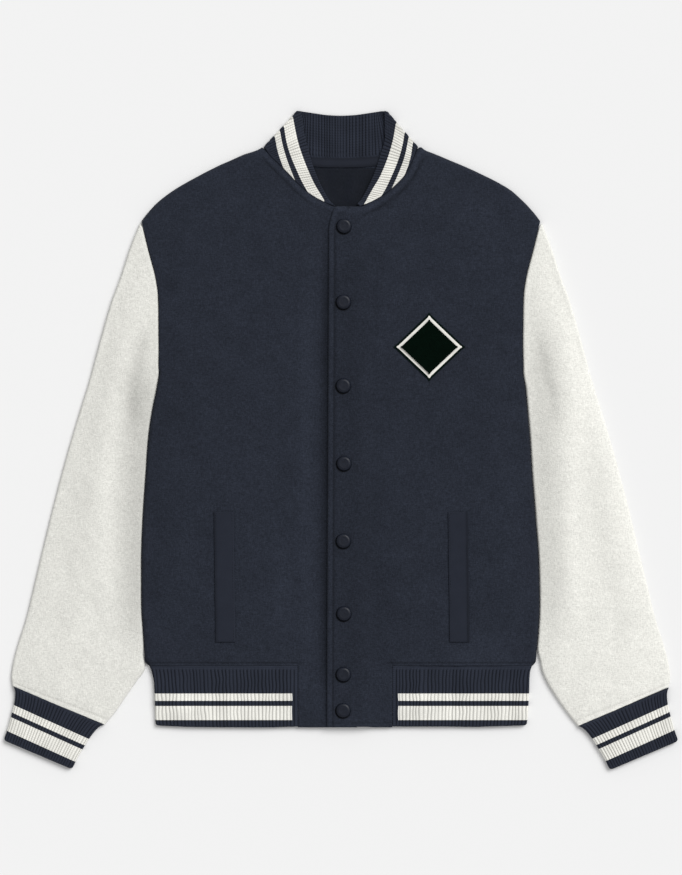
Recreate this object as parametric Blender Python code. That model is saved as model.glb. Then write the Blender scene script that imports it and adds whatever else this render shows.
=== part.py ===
"""A varsity jacket laid flat on its back, front up and buttoned, sleeves down beside the body.

Metres, +Z up. The jacket lies on the plane z = 0 with its collar toward +Y. Left and right are
as seen from above, so left is -X. The origin is under the middle of the whole jacket. Every cloth
piece is a wall of its real thickness, and pieces that are sewn together stand SEAM apart.
"""

import math

import bmesh
import bpy
import numpy as np

MM = 0.001

# Cloth and spacing, in millimetres
WOOL = 2.4  # body melton
SLEEVE = 2.0  # sleeve wool
RIB = 2.6  # knitted bands
FELT = 0.8
CHENILLE = 2.2
TAPE = 1.0
SATIN = 0.8
WELT = 1.6
SEAM = 0.4
LAID_ON = 0.3  # between a panel and what lies on it

# Heights above the surface of what is uppermost
FRONT_TOP = 6.6
OVERLAP_RISE = WOOL + SEAM
SLEEVE_TOP = 6.4
RIB_TOP = 6.4
EDGE_ROLL = 5.6  # radius of the front's rounded side and shoulder edges
BACK_INSET = 3.8  # the back stops short of those edges, and the front wraps round it

# Lengths up the jacket, measured from the hem's lower edge
RIB_HEIGHT = 74.0
ARMPIT = 428.0
SHOULDER_TIP = 608.0
COLLAR_PEAK = 739.8
COLLAR_DIP = 733.8  # the middle of the collar's top edge

# The closing: the right front lies over the left one
CENTRE_FRONT = 3.0
RIGHT_EDGE_TOP, RIGHT_EDGE_HEM = -14.5, -16.8
LEFT_EDGE = 19.5
CLOSING_CORNER = 16.0  # the rounded top corner of the upper front
CLOSING_TOP = 626.0
RIB_END_LEFT, RIB_END_RIGHT = -51.7, 62.0
RISE_END = 42.0  # where the upper front is down on its own level again
RIDGE_X, RIDGE_WIDTH, RIDGE_HEIGHT = -49.0, 15.0, 1.6
RIDGE_LOW, RIDGE_HIGH = 100.0, 480.0

SNAP_RADIUS, SNAP_HEIGHT = 9.0, 3.0
SNAP_HEIGHTS = (602.0, 510.2, 410.2, 316.9, 223.7, 136.4, 63.0, 19.8)
WELT_LOW, WELT_HIGH, WELT_WIDTH, WELT_X, WELT_LEAN = 102.5, 258.6, 23.8, 140.4, 2.0
PATCH_CENTRE, PATCH_HALF = (106.0, 456.5), (45.5, 43.5)
PATCH_STEPS = (0.0, 2.7, 6.4)  # how far each layer of the patch stands in from the lowest
PATCH_CORNER = 5.0

# height up the body, half width at the left, half width at the right
BODY_SIDE = (
    (74.2, 230.5, 230.5),
    (79.0, 235.0, 233.4),
    (100.0, 238.1, 236.8),
    (143.0, 240.7, 239.2),
    (180.0, 241.6, 238.7),
    (230.0, 239.9, 235.7),
    (280.0, 237.1, 231.5),
    (330.0, 234.0, 228.9),
    (360.0, 232.0, 226.6),
    (385.0, 227.4, 224.2),
    (405.0, 223.2, 222.2),
    (ARMPIT, 219.2, 218.8),
)
# height, half width, the same on both sides
ARMHOLE = (
    (ARMPIT, 219.0),
    (460.0, 218.7),
    (503.0, 219.0),
    (531.0, 220.9),
    (546.0, 223.7),
    (560.5, 227.5),
    (575.0, 231.3),
    (592.0, 235.2),
    (SHOULDER_TIP, 239.5),
)
# half width, height along the shoulder from the neck out
SHOULDER = (
    (93.5, 697.0),
    (116.0, 688.5),
    (148.0, 674.0),
    (176.0, 659.5),
    (201.0, 645.0),
    (220.0, 630.5),
    (233.0, 616.5),
    (239.5, SHOULDER_TIP),
)
# height up the hem band, half width left, half width right
RIB_SIDE = (
    (0.0, 221.0, 222.0),
    (2.5, 222.4, 223.6),
    (40.0, 223.8, 226.2),
    (54.0, 224.6, 226.8),
    (66.0, 227.0, 227.6),
    (RIB_HEIGHT - SEAM / 2, 229.6, 229.6),
)
# the sleeve's outer edge: half width, height
SLEEVE_OUTER = (
    (240.0, SHOULDER_TIP),
    (252.1, 577.8),
    (265.0, 538.7),
    (274.6, 513.0),
    (288.6, 465.0),
    (301.6, 417.0),
    (315.0, 373.8),
    (330.4, 321.0),
    (346.8, 258.6),
    (366.0, 179.4),
    (378.5, 128.0),
    (387.2, 101.0),
    (394.0, 74.0),
    (395.6, 60.0),
    (394.0, 48.8),
)
# sleeve sections, straight across it: the height at its outer edge, and at its inner edge
SLEEVE_SECTIONS = (
    (606.0, 600.0),
    (596.0, 592.0),
    (580.0, 575.0),
    (552.0, 546.0),
    (537.0, 531.0),
    (512.0, 503.0),
    (470.0, 460.0),
    (440.0, ARMPIT),
    (418.0, 405.0),
    (398.0, 385.0),
    (374.0, 360.0),
    (345.0, 330.0),
    (297.0, 280.0),
    (249.0, 230.0),
    (201.0, 180.0),
    (166.0, 143.0),
    (128.0, 100.0),
    (101.0, 71.0),
    (74.0, 38.0),
    (60.0, 17.0),
    (48.8, 2.2),
)
# the sleeve's inner edge below the body's side: height, half width left, half width right
SLEEVE_INNER = (
    (2.2, 284.4, 284.4),
    (17.0, 271.8, 272.6),
    (38.0, 257.4, 257.8),
    (57.0, 244.2, 246.4),
    (71.0, 235.2, 241.0),
    (88.0, 238.4, 238.4),
)
SLEEVE_TO_BODY = 1.2
# cuff sections: length down the cuff from the sleeve, half width
CUFF_SECTIONS = (
    (0.0, 59.2),
    (4.0, 55.6),
    (10.0, 52.8),
    (20.0, 50.0),
    (32.0, 48.0),
    (52.0, 45.4),
    (62.0, 44.8),
    (64.5, 42.8),
)
CUFF_TOP_MIDDLE = (339.2, 25.4)
CUFF_ANGLE = math.radians(23.0)  # of the cuff's length, out from straight down
# collar sections on the front: the neck seam (half width, height), the top edge (half width, height)
COLLAR_FRONT = (
    (15.0, 625.6, 15.0, 628.4),
    (28.0, 631.0, 19.5, 634.0),
    (44.0, 640.0, 25.5, 644.5),
    (59.0, 652.5, 31.5, 657.0),
    (70.5, 665.0, 36.5, 669.0),
    (80.0, 677.5, 42.0, 686.5),
    (87.5, 688.0, 47.8, 709.0),
)
SHOULDER_POINT, COLLAR_FOLD_TOP = (93.5, 697.0), (52.0, COLLAR_PEAK)
COLLAR_BACK = (
    (80.0, 693.0, 47.5, 739.0),
    (60.0, 687.6, 38.0, 737.6),
    (40.0, 684.2, 26.0, 735.8),
    (20.0, 682.6, 13.0, 734.3),
    (0.0, 682.2, 0.0, COLLAR_DIP),
)
FOLD_RADIUS = 2.1
NECK_LEAN, TOP_LEAN = 8.0, 5.0  # the front neck sits this far to the right, for the closing's overlap
NECK_LEAN_FADE, TOP_LEAN_FADE = 37.0, 12.0
TAPE_WIDTH, TAPE_HALF = 9.4, 80.0
# lining that shows in the neck: height, half width
LINING = (
    (606.0, 14.0),
    (610.0, 26.0),
    (622.0, 38.0),
    (646.0, 52.0),
    (672.4, 62.0),
)

# colour, roughness, metallic
FINISHES = {
    "navy_wool": ((0.023, 0.027, 0.038), 0.9, 0.0),
    "cream_wool": ((0.76, 0.75, 0.70), 0.85, 0.0),
    "navy_rib": ((0.019, 0.022, 0.032), 0.85, 0.0),
    "navy_facing": ((0.017, 0.020, 0.029), 0.8, 0.0),
    "dark_satin": ((0.010, 0.012, 0.016), 0.45, 0.0),
    "snap_cap": ((0.012, 0.014, 0.020), 0.4, 0.2),
    "border_felt": ((0.004, 0.008, 0.007), 0.9, 0.0),
    "cream_felt": ((0.80, 0.79, 0.74), 0.9, 0.0),
    "green_chenille": ((0.002, 0.006, 0.004), 0.95, 0.0),
}


def cuff_point(along, across):
    """A point of the left cuff's plan, as half width and height."""
    down, out = math.cos(CUFF_ANGLE), math.sin(CUFF_ANGLE)
    return (
        CUFF_TOP_MIDDLE[0] + along * out + across * down,
        CUFF_TOP_MIDDLE[1] - along * down + across * out,
    )


# the jacket's own middle, from its highest and lowest points, goes to y = 0
LOWEST = min(cuff_point(along, -half)[1] for along, half in CUFF_SECTIONS)
MIDDLE_UP = (COLLAR_PEAK + LOWEST) / 2


def column(rows, key, value):
    """Column `value` of a table as a function of its column `key`, straight between rows."""
    pairs = sorted((row[key], row[value]) for row in rows)
    keys, values = zip(*pairs)
    return lambda x: np.interp(x, keys, values)


def smoothstep(x, low, high):
    t = np.clip((x - low) / (high - low), 0.0, 1.0)
    return t * t * (3.0 - 2.0 * t)


def distance_to(x, y, line):
    """How far the plan points (x, y) lie from an open line of points."""
    points = np.stack([x, y], axis=-1)
    nearest = np.full(x.shape, np.inf)
    for start, end in zip(np.array(line[:-1]), np.array(line[1:])):
        span = end - start
        t = np.clip(((points - start) @ span) / (span @ span), 0.0, 1.0)
        gap = np.linalg.norm(points - (start + t[..., None] * span), axis=-1)
        nearest = np.minimum(nearest, gap)
    return nearest


def rolled(distance, radius):
    """How far a rounded edge has dropped at this distance in from it."""
    inside = np.clip(radius - distance, 0.0, radius)
    return radius - np.sqrt(radius**2 - inside**2)


def material(name):
    found = bpy.data.materials.get(name)
    if found:
        return found
    colour, roughness, metallic = FINISHES[name]
    made = bpy.data.materials.new(name)
    made.use_nodes = True
    shader = made.node_tree.nodes["Principled BSDF"]
    shader.inputs["Base Color"].default_value = (*colour, 1.0)
    shader.inputs["Roughness"].default_value = roughness
    shader.inputs["Metallic"].default_value = metallic
    return made


def add_object(name, bm, finish):
    """A mesh object from bmesh points in jacket millimetres, height measured from the hem."""
    for vert in bm.verts:
        x, y, z = vert.co
        vert.co = (x * MM, (y - MIDDLE_UP) * MM, z * MM)
    mesh = bpy.data.meshes.new(name)
    bm.to_mesh(mesh)
    bm.free()
    mesh.shade_smooth()
    mesh.set_sharp_from_angle(angle=math.radians(35))
    made = bpy.data.objects.new(name, mesh)
    made.data.materials.append(material(finish))
    made.parent = JACKET
    bpy.context.scene.collection.objects.link(made)
    return made


def every_cell(i, j):
    return True


def sheet(name, grid, finish, thickness, facing_up=True, offset=-1.0, keep=every_cell):
    """A cloth wall on a grid of points (rows, columns, 3), thickened inward from that face.

    keep(row, column) says which cells are there.
    """
    rows, columns = grid.shape[:2]
    bm = bmesh.new()
    verts = [[bm.verts.new(grid[i, j]) for j in range(columns)] for i in range(rows)]
    for i in range(rows - 1):
        for j in range(columns - 1):
            if not keep(i, j):
                continue
            corners = (verts[i][j], verts[i][j + 1], verts[i + 1][j + 1], verts[i + 1][j])
            bm.faces.new(corners if facing_up else corners[::-1])
    bmesh.ops.delete(bm, geom=[v for v in bm.verts if not v.link_faces], context="VERTS")
    made = add_object(name, bm, finish)
    wall = made.modifiers.new("wall", "SOLIDIFY")
    wall.thickness = thickness * MM
    wall.offset = offset
    wall.use_even_offset = False
    return made


def plate(name, outline, low, thickness, finish):
    """A flat plate on a closed outline of plan points, with its underside at height `low`."""
    bm = bmesh.new()
    face = bm.faces.new([bm.verts.new((x, y, low + thickness)) for x, y in outline])
    bm.normal_update()
    if face.normal.z > 0:
        face.normal_flip()
    grown = bmesh.ops.extrude_face_region(bm, geom=[face])
    for item in grown["geom"]:
        if isinstance(item, bmesh.types.BMVert):
            item.co.z = low
    bmesh.ops.recalc_face_normals(bm, faces=bm.faces)
    return add_object(name, bm, finish)


def seam_lean(height):
    return NECK_LEAN * smoothstep(SHOULDER_POINT[1] - height, 0.0, NECK_LEAN_FADE)


def top_lean(height):
    return TOP_LEAN * smoothstep(COLLAR_PEAK - height, 0.0, TOP_LEAN_FADE)


def neck_seam(side):
    """The front neck seam from the closing to the shoulder, as (x, height) with the side's sign."""
    points = [(row[0], row[1]) for row in COLLAR_FRONT] + [SHOULDER_POINT]
    return [(side * x + float(seam_lean(y)), y) for x, y in points]


def overlap_rise(x):
    """How far the upper front is lifted by the under front at this x."""
    return OVERLAP_RISE * (1.0 - smoothstep(x, LEFT_EDGE + 1.0, RISE_END))


def ridge(x, height):
    """The soft fold that runs down the under front beside the closing."""
    across = np.exp(-(((x - RIDGE_X) / RIDGE_WIDTH) ** 2))
    along = smoothstep(height, RIDGE_LOW - 60, RIDGE_LOW + 60) * (
        1.0 - smoothstep(height, RIDGE_HIGH - 90, RIDGE_HIGH + 60)
    )
    return RIDGE_HEIGHT * across * along


def side_rows(side):
    """Body side and armhole as one table of height and half width, for one side."""
    which = 1 if side < 0 else 2
    rows = [(row[0], row[which]) for row in BODY_SIDE]
    return rows + [tuple(row) for row in ARMHOLE[1:]]


def front(side, name):
    """One front. side is -1 for the under front at the left, +1 for the upper one at the right."""
    edge_top, edge_hem = (
        (RIGHT_EDGE_TOP, RIGHT_EDGE_HEM) if side > 0 else (-LEFT_EDGE, -LEFT_EDGE)
    )
    rib_end = RIB_END_RIGHT if side > 0 else -RIB_END_LEFT
    tip = SHOULDER[-1][0]
    seam = [(side * x + SEAM, y - 1.5 * SEAM) for x, y in neck_seam(side)]
    closing = [
        (edge_top, CLOSING_TOP - CLOSING_CORNER),
        (edge_top + 2.0, CLOSING_TOP - 7.5),
        (edge_top + 7.0, CLOSING_TOP - 2.2),
        (edge_top + CLOSING_CORNER, CLOSING_TOP - SEAM),
    ]
    if side < 0:
        closing = [(x, y - 1.0) for x, y in closing]
    # the top edge, from the closing out: closing corner, neck seam, shoulder
    top = closing + [p for p in seam if p[0] > closing[-1][0] + 2.0] + list(SHOULDER[1:])
    top_x, top_y = zip(*top)
    heights, widths = zip(*side_rows(side))

    # columns at the top edge's own points, the rib's end and the rolled side edge
    roll_in = [EDGE_ROLL * k for k in (1.0, 0.62, 0.3, 0.08, 0.0)]
    columns = [x for x in top_x if x < tip - 2 * EDGE_ROLL and abs(x - rib_end) > 4.0]
    columns = sorted([*columns, rib_end - SEAM / 2] + [tip - d for d in roll_in])
    u = (np.array(columns) - edge_top) / (tip - edge_top)
    rib_column = columns.index(rib_end - SEAM / 2)

    # rows at the side's own points, with more where the shoulder rolls
    low = RIB_HEIGHT + SEAM / 2
    v = [(h - low) / (SHOULDER_TIP - low) for h in heights]
    v = [t for t in v if t < 1.0 - 2 * EDGE_ROLL / SHOULDER_TIP]
    v = np.array(v + [1.0 - d * 1.25 / (SHOULDER_TIP - low) for d in roll_in])

    side_height = low + v * (SHOULDER_TIP - low)
    side_x = np.interp(side_height, heights, widths)
    edge_x = edge_hem + (edge_top - edge_hem) * v
    # the rib's end is a plumb line, so the row at the rib's top is spaced by x itself
    x = edge_x[:, None] + u[None, :] * (side_x - edge_x)[:, None]
    x[0] = np.interp(u, [0.0, u[rib_column], 1.0], [edge_x[0], columns[rib_column], side_x[0]])
    y = low + v[:, None] * (np.interp(columns, top_x, top_y)[None, :] - low)

    # the tab beside the rib, down to the hem
    tab_heights = np.array([0.0, 4.0, RIB_HEIGHT / 2])
    tab_x = np.repeat(x[:1], len(tab_heights), axis=0)
    tab_y = np.repeat(tab_heights[:, None], len(columns), axis=1)
    x, y = np.vstack([tab_x, x]), np.vstack([tab_y, y])

    rolled_edge = [(w, h) for h, w in zip(heights, widths) if h <= ARMPIT]
    drop = np.maximum(
        rolled(distance_to(x, y, rolled_edge), EDGE_ROLL),
        rolled(distance_to(x, y, SHOULDER), EDGE_ROLL),
    )
    lift = overlap_rise(x) if side > 0 else ridge(side * x, y)
    grid = np.stack([side * x, y, FRONT_TOP + lift - drop], axis=-1)
    tab_rows = len(tab_heights)
    return sheet(
        name,
        grid,
        "navy_wool",
        WOOL,
        facing_up=side > 0,
        keep=lambda i, j: i >= tab_rows or j < rib_column,
    )


def back():
    """The back: flat on the surface, short of the edges that the fronts wrap round."""
    low = RIB_HEIGHT + SEAM / 2
    tip_height = SHOULDER_TIP - BACK_INSET * 1.3
    heights = [row[0] for row in side_rows(1) if row[0] < tip_height]
    heights = np.array([*heights, tip_height])
    inset = BACK_INSET * (1.0 - smoothstep(heights, ARMPIT + 16.0, ARMPIT + 70.0))
    left_x = inset - column(side_rows(-1), 0, 1)(heights)
    right_x = column(side_rows(1), 0, 1)(heights) - inset
    v = (heights - low) / (tip_height - low)

    neck = [(row[0], row[1] - SEAM) for row in COLLAR_BACK[::-1]]
    shoulder = [(x - 1.0, h - BACK_INSET * 1.2) for x, h in SHOULDER[:-1]]
    top = neck + shoulder + [(right_x[-1], tip_height)]
    top_x, top_y = zip(*top)
    half = np.array(top_x) / top_x[-1]
    u = np.concatenate([-half[:0:-1], half])
    top_line = np.interp(np.abs(u), half, top_y)

    middle, reach = (left_x + right_x) / 2, (right_x - left_x) / 2
    x = middle[:, None] + u[None, :] * reach[:, None]
    y = low + v[:, None] * (top_line[None, :] - low)
    z = np.zeros_like(x)
    return sheet("back", np.stack([x, y, z], axis=-1), "navy_wool", WOOL, facing_up=False)


def tube(name, x, y, finish, top, wall, side, folds, keep):
    """A flattened tube whose sections are the straight plan rows x, y, one upper and one lower layer.

    folds holds the lines of its first and its last column, where the layers meet in a round fold.
    keep(row, column) says which cells are there: the columns run over the top, then back below.
    """
    radius = top / 2
    columns = x.shape[1]
    toward = np.zeros_like(x)
    for line, sign, edge in zip(folds, (1.0, -1.0), (0, columns - 1)):
        on_fold = distance_to(x, y, line)
        toward += sign * np.clip(1.0 - on_fold / radius, 0.0, 1.0)
    rise = np.sqrt(1.0 - np.clip(toward, -1.0, 1.0) ** 2)
    across = np.stack([x[:, -1] - x[:, 0], y[:, -1] - y[:, 0]], axis=-1)
    across /= np.linalg.norm(across, axis=-1, keepdims=True)

    def layers(inset):
        move = toward[..., None] * inset * across[:, None, :]
        plan = np.stack([side * (x + move[..., 0]), y + move[..., 1]], axis=-1)
        high = radius + (radius - inset) * rise
        low = radius - (radius - inset) * rise
        over = np.concatenate([plan, high[..., None]], axis=-1)
        under = np.concatenate([plan, low[..., None]], axis=-1)[:, -2:0:-1]
        return np.concatenate([over, under], axis=1)

    return walled(name, layers(0.0), layers(wall), finish, side, keep)


def walled(name, outer, inner, finish, side, keep):
    """A wall between two grids of points whose last column joins the first."""
    rows, columns = outer.shape[:2]
    bm = bmesh.new()
    skins = [[[bm.verts.new(p) for p in row] for row in grid] for grid in (outer, inner)]
    for i in range(rows - 1):
        for j in range(columns):
            if not keep(i, j):
                continue
            k = (j + 1) % columns
            for verts in skins:
                bm.faces.new((verts[i][j], verts[i][k], verts[i + 1][k], verts[i + 1][j]))
    pairs = {}
    for outer_row, inner_row in zip(*skins):
        pairs.update(zip(outer_row, inner_row))
    for edge in [e for e in bm.edges if len(e.link_faces) == 1 and e.verts[0] in pairs]:
        a, b = edge.verts
        bm.faces.new((a, b, pairs[b], pairs[a]))
    bmesh.ops.delete(bm, geom=[v for v in bm.verts if not v.link_faces], context="VERTS")
    bmesh.ops.recalc_face_normals(bm, faces=bm.faces)
    return add_object(name, bm, finish)


def fold_columns(inner, width, radius):
    """Column fractions across a tube: its own inner ones, and more where the folds round."""
    near = np.array([0.0, 0.09, 0.35, 1.0]) * radius / width
    return np.concatenate([near, inner, 1.0 - near[::-1]])


def sleeve(side, name):
    which = 1 if side < 0 else 2
    outer_h, inner_h = np.array(SLEEVE_SECTIONS).T
    outer_x = column(SLEEVE_OUTER, 1, 0)(outer_h)
    armhole = column(ARMHOLE, 0, 1)(inner_h) + SEAM * 1.2
    body = column(BODY_SIDE, 0, which)(inner_h) + SLEEVE_TO_BODY
    lower = column(SLEEVE_INNER, 0, which)(inner_h)
    inner_x = np.where(inner_h > SLEEVE_INNER[-1][0], body, lower)
    inner_x = np.where(inner_h >= ARMPIT, armhole, inner_x)
    # the last section stops a seam short of the cuff
    stop = SEAM / 2 * np.array([-math.sin(CUFF_ANGLE), math.cos(CUFF_ANGLE)])
    outer_x[-1], inner_x[-1] = outer_x[-1] + stop[0], inner_x[-1] + stop[0]
    outer_h[-1], inner_h[-1] = outer_h[-1] + stop[1], inner_h[-1] + stop[1]

    x, y = [], []
    for x0, y0, x1, y1 in zip(outer_x, outer_h, inner_x, inner_h):
        width = math.hypot(x1 - x0, y1 - y0)
        radius = min(SLEEVE_TOP / 2, width * 0.3)
        f = fold_columns(np.linspace(0.15, 0.85, 5), width, radius)
        x.append(x0 + f * (x1 - x0))
        y.append(y0 + f * (y1 - y0))
    x, y = np.array(x), np.array(y)
    armpit_row = list(inner_h).index(ARMPIT)
    outer_fold = list(zip(outer_x, outer_h))
    inner_fold = list(zip(inner_x, inner_h))[armpit_row:]
    last = x.shape[1] - 1

    def keep(i, j):
        return i >= armpit_row or j not in (last - 1, last)

    return tube(
        name, x, y, "cream_wool", SLEEVE_TOP, SLEEVE, side, (outer_fold, inner_fold), keep
    )


def cuff(side, name):
    sections = [(SEAM / 2, CUFF_SECTIONS[0][1]), *CUFF_SECTIONS[1:]]
    width = 2 * CUFF_SECTIONS[-1][1]
    fractions = fold_columns(np.linspace(0.1, 0.9, 6), width, RIB_TOP / 2)
    plan = np.array(
        [[cuff_point(along, half * (1 - 2 * f)) for f in fractions] for along, half in sections]
    )
    x, y = plan[..., 0], plan[..., 1]
    folds = [list(zip(x[:, k], y[:, k])) for k in (0, -1)]
    return tube(name, x, y, "navy_rib", RIB_TOP, RIB, side, folds, every_cell)


def hem_rib():
    """The hem band: from the left front's tab round the back to the right front's tab."""
    near = np.array([0.0, 0.09, 0.35, 1.0]) * RIB_TOP / 2
    rows = []
    for _, left, right in RIB_SIDE:
        left_front = np.linspace(-left + near[-1], RIB_END_LEFT - SEAM / 2, 6)[1:]
        right_front = np.linspace(RIB_END_RIGHT + SEAM / 2, right - near[-1], 6)[:-1]
        rows.append([*(-left + near), *left_front, *right_front, *(right - near[::-1])])
    x = np.array(rows)
    y = np.repeat([[row[0]] for row in RIB_SIDE], x.shape[1], axis=1)
    folds = [list(zip(x[:, k], y[:, k])) for k in (0, -1)]
    open_cell = len(near) + len(left_front) - 1  # between the tabs, on top
    return tube(
        "hem_rib", x, y, "navy_rib", RIB_TOP, RIB, 1, folds, lambda i, j: j != open_cell
    )


def collar():
    """The collar band, folded over at both shoulders. It runs from closing to closing."""
    low, high = RIB / 2, RIB / 2 + 2 * FOLD_RADIUS
    fold = np.array(COLLAR_FOLD_TOP) - np.array(SHOULDER_POINT)
    inward = np.array([fold[1], -fold[0]]) / np.linalg.norm(fold)
    inward *= -np.sign(inward[0])

    def half(side):
        rows = []
        for seam_x, seam_y, top_x, top_y in COLLAR_FRONT:
            x0, x1 = side * seam_x + seam_lean(seam_y), side * top_x + top_lean(top_y)
            lift = overlap_rise(x0) if side > 0 else 0.0
            rows.append(((x0, seam_y, high + lift), (x1, top_y, high + lift)))
        for turn in (90, 45, 0, -45, -90):
            angle = math.radians(turn)
            move = inward * (RIB / 2 + FOLD_RADIUS * (1.0 - math.cos(angle)))
            z = low + FOLD_RADIUS + FOLD_RADIUS * math.sin(angle)
            seam, top = np.array(SHOULDER_POINT) + move, np.array(COLLAR_FOLD_TOP) + move
            rows.append(((side * seam[0], seam[1], z), (side * top[0], top[1], z)))
        for seam_x, seam_y, top_x, top_y in COLLAR_BACK:
            rows.append(((side * seam_x, seam_y, low), (side * top_x, top_y, low)))
        return rows

    rows = half(-1) + half(1)[-2::-1]
    steps = np.linspace(0.0, 1.0, 5)
    seam, top = (np.array([row[k] for row in rows], dtype=float) for k in (0, 1))
    grid = seam[None] + steps[:, None, None] * (top - seam)[None]
    return sheet("collar", grid, "navy_rib", RIB, facing_up=True, offset=0.0)


def neck_tape():
    """The tape on the back's inside, along the neck seam."""
    x = np.linspace(-TAPE_HALF, TAPE_HALF, 9)
    high = column(COLLAR_BACK, 0, 1)(np.abs(x)) - 2 * SEAM
    outline = list(zip(x, high - TAPE_WIDTH)) + list(zip(x, high))[::-1]
    return plate("neck_tape", outline, WOOL + LAID_ON, TAPE, "navy_facing")


def neck_lining():
    """The part of the lining that the open neck shows, on the back's inside."""
    below_tape = COLLAR_BACK[-1][1] - 3 * SEAM - TAPE_WIDTH
    right = [(half, min(height, below_tape)) for height, half in LINING]
    left = [(-half, height) for half, height in right[::-1]]
    return plate("neck_lining", right + left, WOOL + LAID_ON, SATIN, "dark_satin")


def welt(side, name):
    x = side * WELT_X
    half = WELT_WIDTH / 2
    outline = (
        (x - half + WELT_LEAN, WELT_LOW),
        (x + half + WELT_LEAN, WELT_LOW),
        (x + half, WELT_HIGH),
        (x - half, WELT_HIGH),
    )
    return plate(name, outline, FRONT_TOP + LAID_ON, WELT, "navy_facing")


def diamond(inset):
    """A plain diamond with rounded corners, standing in by `inset` all round."""
    wide, tall = PATCH_HALF
    scale = 1.0 - inset * math.hypot(wide, tall) / (wide * tall)
    outline = []
    for x, y in ((wide, 0.0), (0.0, tall), (-wide, 0.0), (0.0, -tall)):
        corner = np.array((x, y)) * scale
        along = np.array((-y * wide / tall, x * tall / wide)) / math.hypot(wide, tall)
        back_off = PATCH_CORNER * max(scale, 0.6)
        for t in (-1.0, -0.5, 0.0, 0.5, 1.0):
            inwards = corner * (1.0 - back_off / np.linalg.norm(corner) * (0.45 + 0.55 * t * t))
            outline.append(tuple(inwards + along * t * back_off * 0.55))
    return [(PATCH_CENTRE[0] + x, PATCH_CENTRE[1] + y) for x, y in outline]


def patch():
    """Three layers: a felt border, cream felt, and a chenille top."""
    low = FRONT_TOP + LAID_ON
    layers = (
        ("patch_border", FELT, "border_felt"),
        ("patch_felt", FELT, "cream_felt"),
        ("patch_chenille", CHENILLE, "green_chenille"),
    )
    for (name, thickness, finish), inset in zip(layers, PATCH_STEPS):
        plate(name, diamond(inset), low, thickness, finish)
        low += thickness + LAID_ON


def snap(name, height):
    """A snap's cap: a dished disc with a raised round rim, spun from its profile."""
    profile = (
        (0.0, 0.62),
        (0.55, 0.66),
        (0.68, 0.93),
        (0.82, 1.0),
        (0.96, 0.8),
        (1.0, 0.45),
        (0.93, 0.0),
        (0.0, 0.0),
    )
    base = FRONT_TOP + OVERLAP_RISE + LAID_ON
    bm = bmesh.new()
    points = [(r * SNAP_RADIUS, 0.0, z * SNAP_HEIGHT) for r, z in profile]
    verts = [bm.verts.new(point) for point in points]
    edges = [bm.edges.new(pair) for pair in zip(verts, verts[1:])]
    bmesh.ops.spin(
        bm, geom=verts + edges, cent=(0, 0, 0), axis=(0, 0, 1), angle=math.tau, steps=20
    )
    bmesh.ops.remove_doubles(bm, verts=bm.verts, dist=1e-4)
    bmesh.ops.recalc_face_normals(bm, faces=bm.faces)
    bmesh.ops.translate(bm, verts=bm.verts, vec=(CENTRE_FRONT, height, base))
    return add_object(name, bm, "snap_cap")


for old in list(bpy.data.objects):
    bpy.data.objects.remove(old, do_unlink=True)
JACKET = bpy.data.objects.new("jacket", None)
bpy.context.scene.collection.objects.link(JACKET)

back()
front(-1, "front_left")
front(1, "front_right")
for side, word in ((-1, "left"), (1, "right")):
    sleeve(side, f"sleeve_{word}")
    cuff(side, f"cuff_{word}")
    welt(side, f"welt_{word}")
hem_rib()
collar()
neck_tape()
neck_lining()
patch()
for number, height in enumerate(SNAP_HEIGHTS, start=1):
    snap(f"snap_{number}", height)
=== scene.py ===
# %% [markdown]
# # A varsity jacket, laid flat
#
# This lesson dresses a plain model of a varsity jacket: the shapes are cloth shells built from a
# few tables of sizes, and the finishes are wool, rib knit, felt, pile and enamel. The plain model
# comes in first as a fixed frame, and every new piece lies where its plain piece lies.

# %% Load the frame
import math
from collections import namedtuple

import bpy
import numpy as np
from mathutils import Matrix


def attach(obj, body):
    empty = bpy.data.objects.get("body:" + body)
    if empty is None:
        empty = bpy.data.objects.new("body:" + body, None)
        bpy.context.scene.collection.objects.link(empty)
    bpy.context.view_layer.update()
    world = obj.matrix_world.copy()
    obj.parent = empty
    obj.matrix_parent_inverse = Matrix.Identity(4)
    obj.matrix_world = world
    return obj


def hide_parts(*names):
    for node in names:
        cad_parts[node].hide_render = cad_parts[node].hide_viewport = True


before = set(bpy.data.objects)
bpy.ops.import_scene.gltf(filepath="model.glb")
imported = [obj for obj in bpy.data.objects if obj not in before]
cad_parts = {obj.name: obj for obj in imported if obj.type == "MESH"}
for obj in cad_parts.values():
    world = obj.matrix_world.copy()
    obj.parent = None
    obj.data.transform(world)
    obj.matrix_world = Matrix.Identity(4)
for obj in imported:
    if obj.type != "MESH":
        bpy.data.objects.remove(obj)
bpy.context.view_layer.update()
bpy.ops.object.select_all(action="DESELECT")
print("nodes in the frame:", len(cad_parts))

# %% [markdown]
# ## Sizes
#
# A jacket is drafted in a few lines: centre, side, armhole, shoulder, neck. They are kept here in
# millimetres, as a pattern cutter would write them: across from the centre, and up from the hem.
# Tables hold the curves, a row for each place where a curve changes.

# %% Cloth thicknesses and levels
MM = 0.001
WOOL, SLEEVE, RIB, FELT, CHENILLE, TAPE, SATIN, WELT = 2.4, 2.0, 2.6, 0.8, 2.2, 1.0, 0.8, 1.6
JOIN = 0.1  # half the gap between two pieces that are sewn together
LAID_ON = 0.3  # between a panel and what lies on it
FRONT_TOP, TUBE_TOP = 6.6, 6.4  # top faces of the fronts, and of sleeves, cuffs and hem band
OVERLAP_RISE = 2.8  # how far the under front lifts the upper one
EDGE_ROLL, BACK_INSET = 5.6, 3.8
COLLAR_LOW, FOLD_RADIUS = 1.3, 2.1

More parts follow.
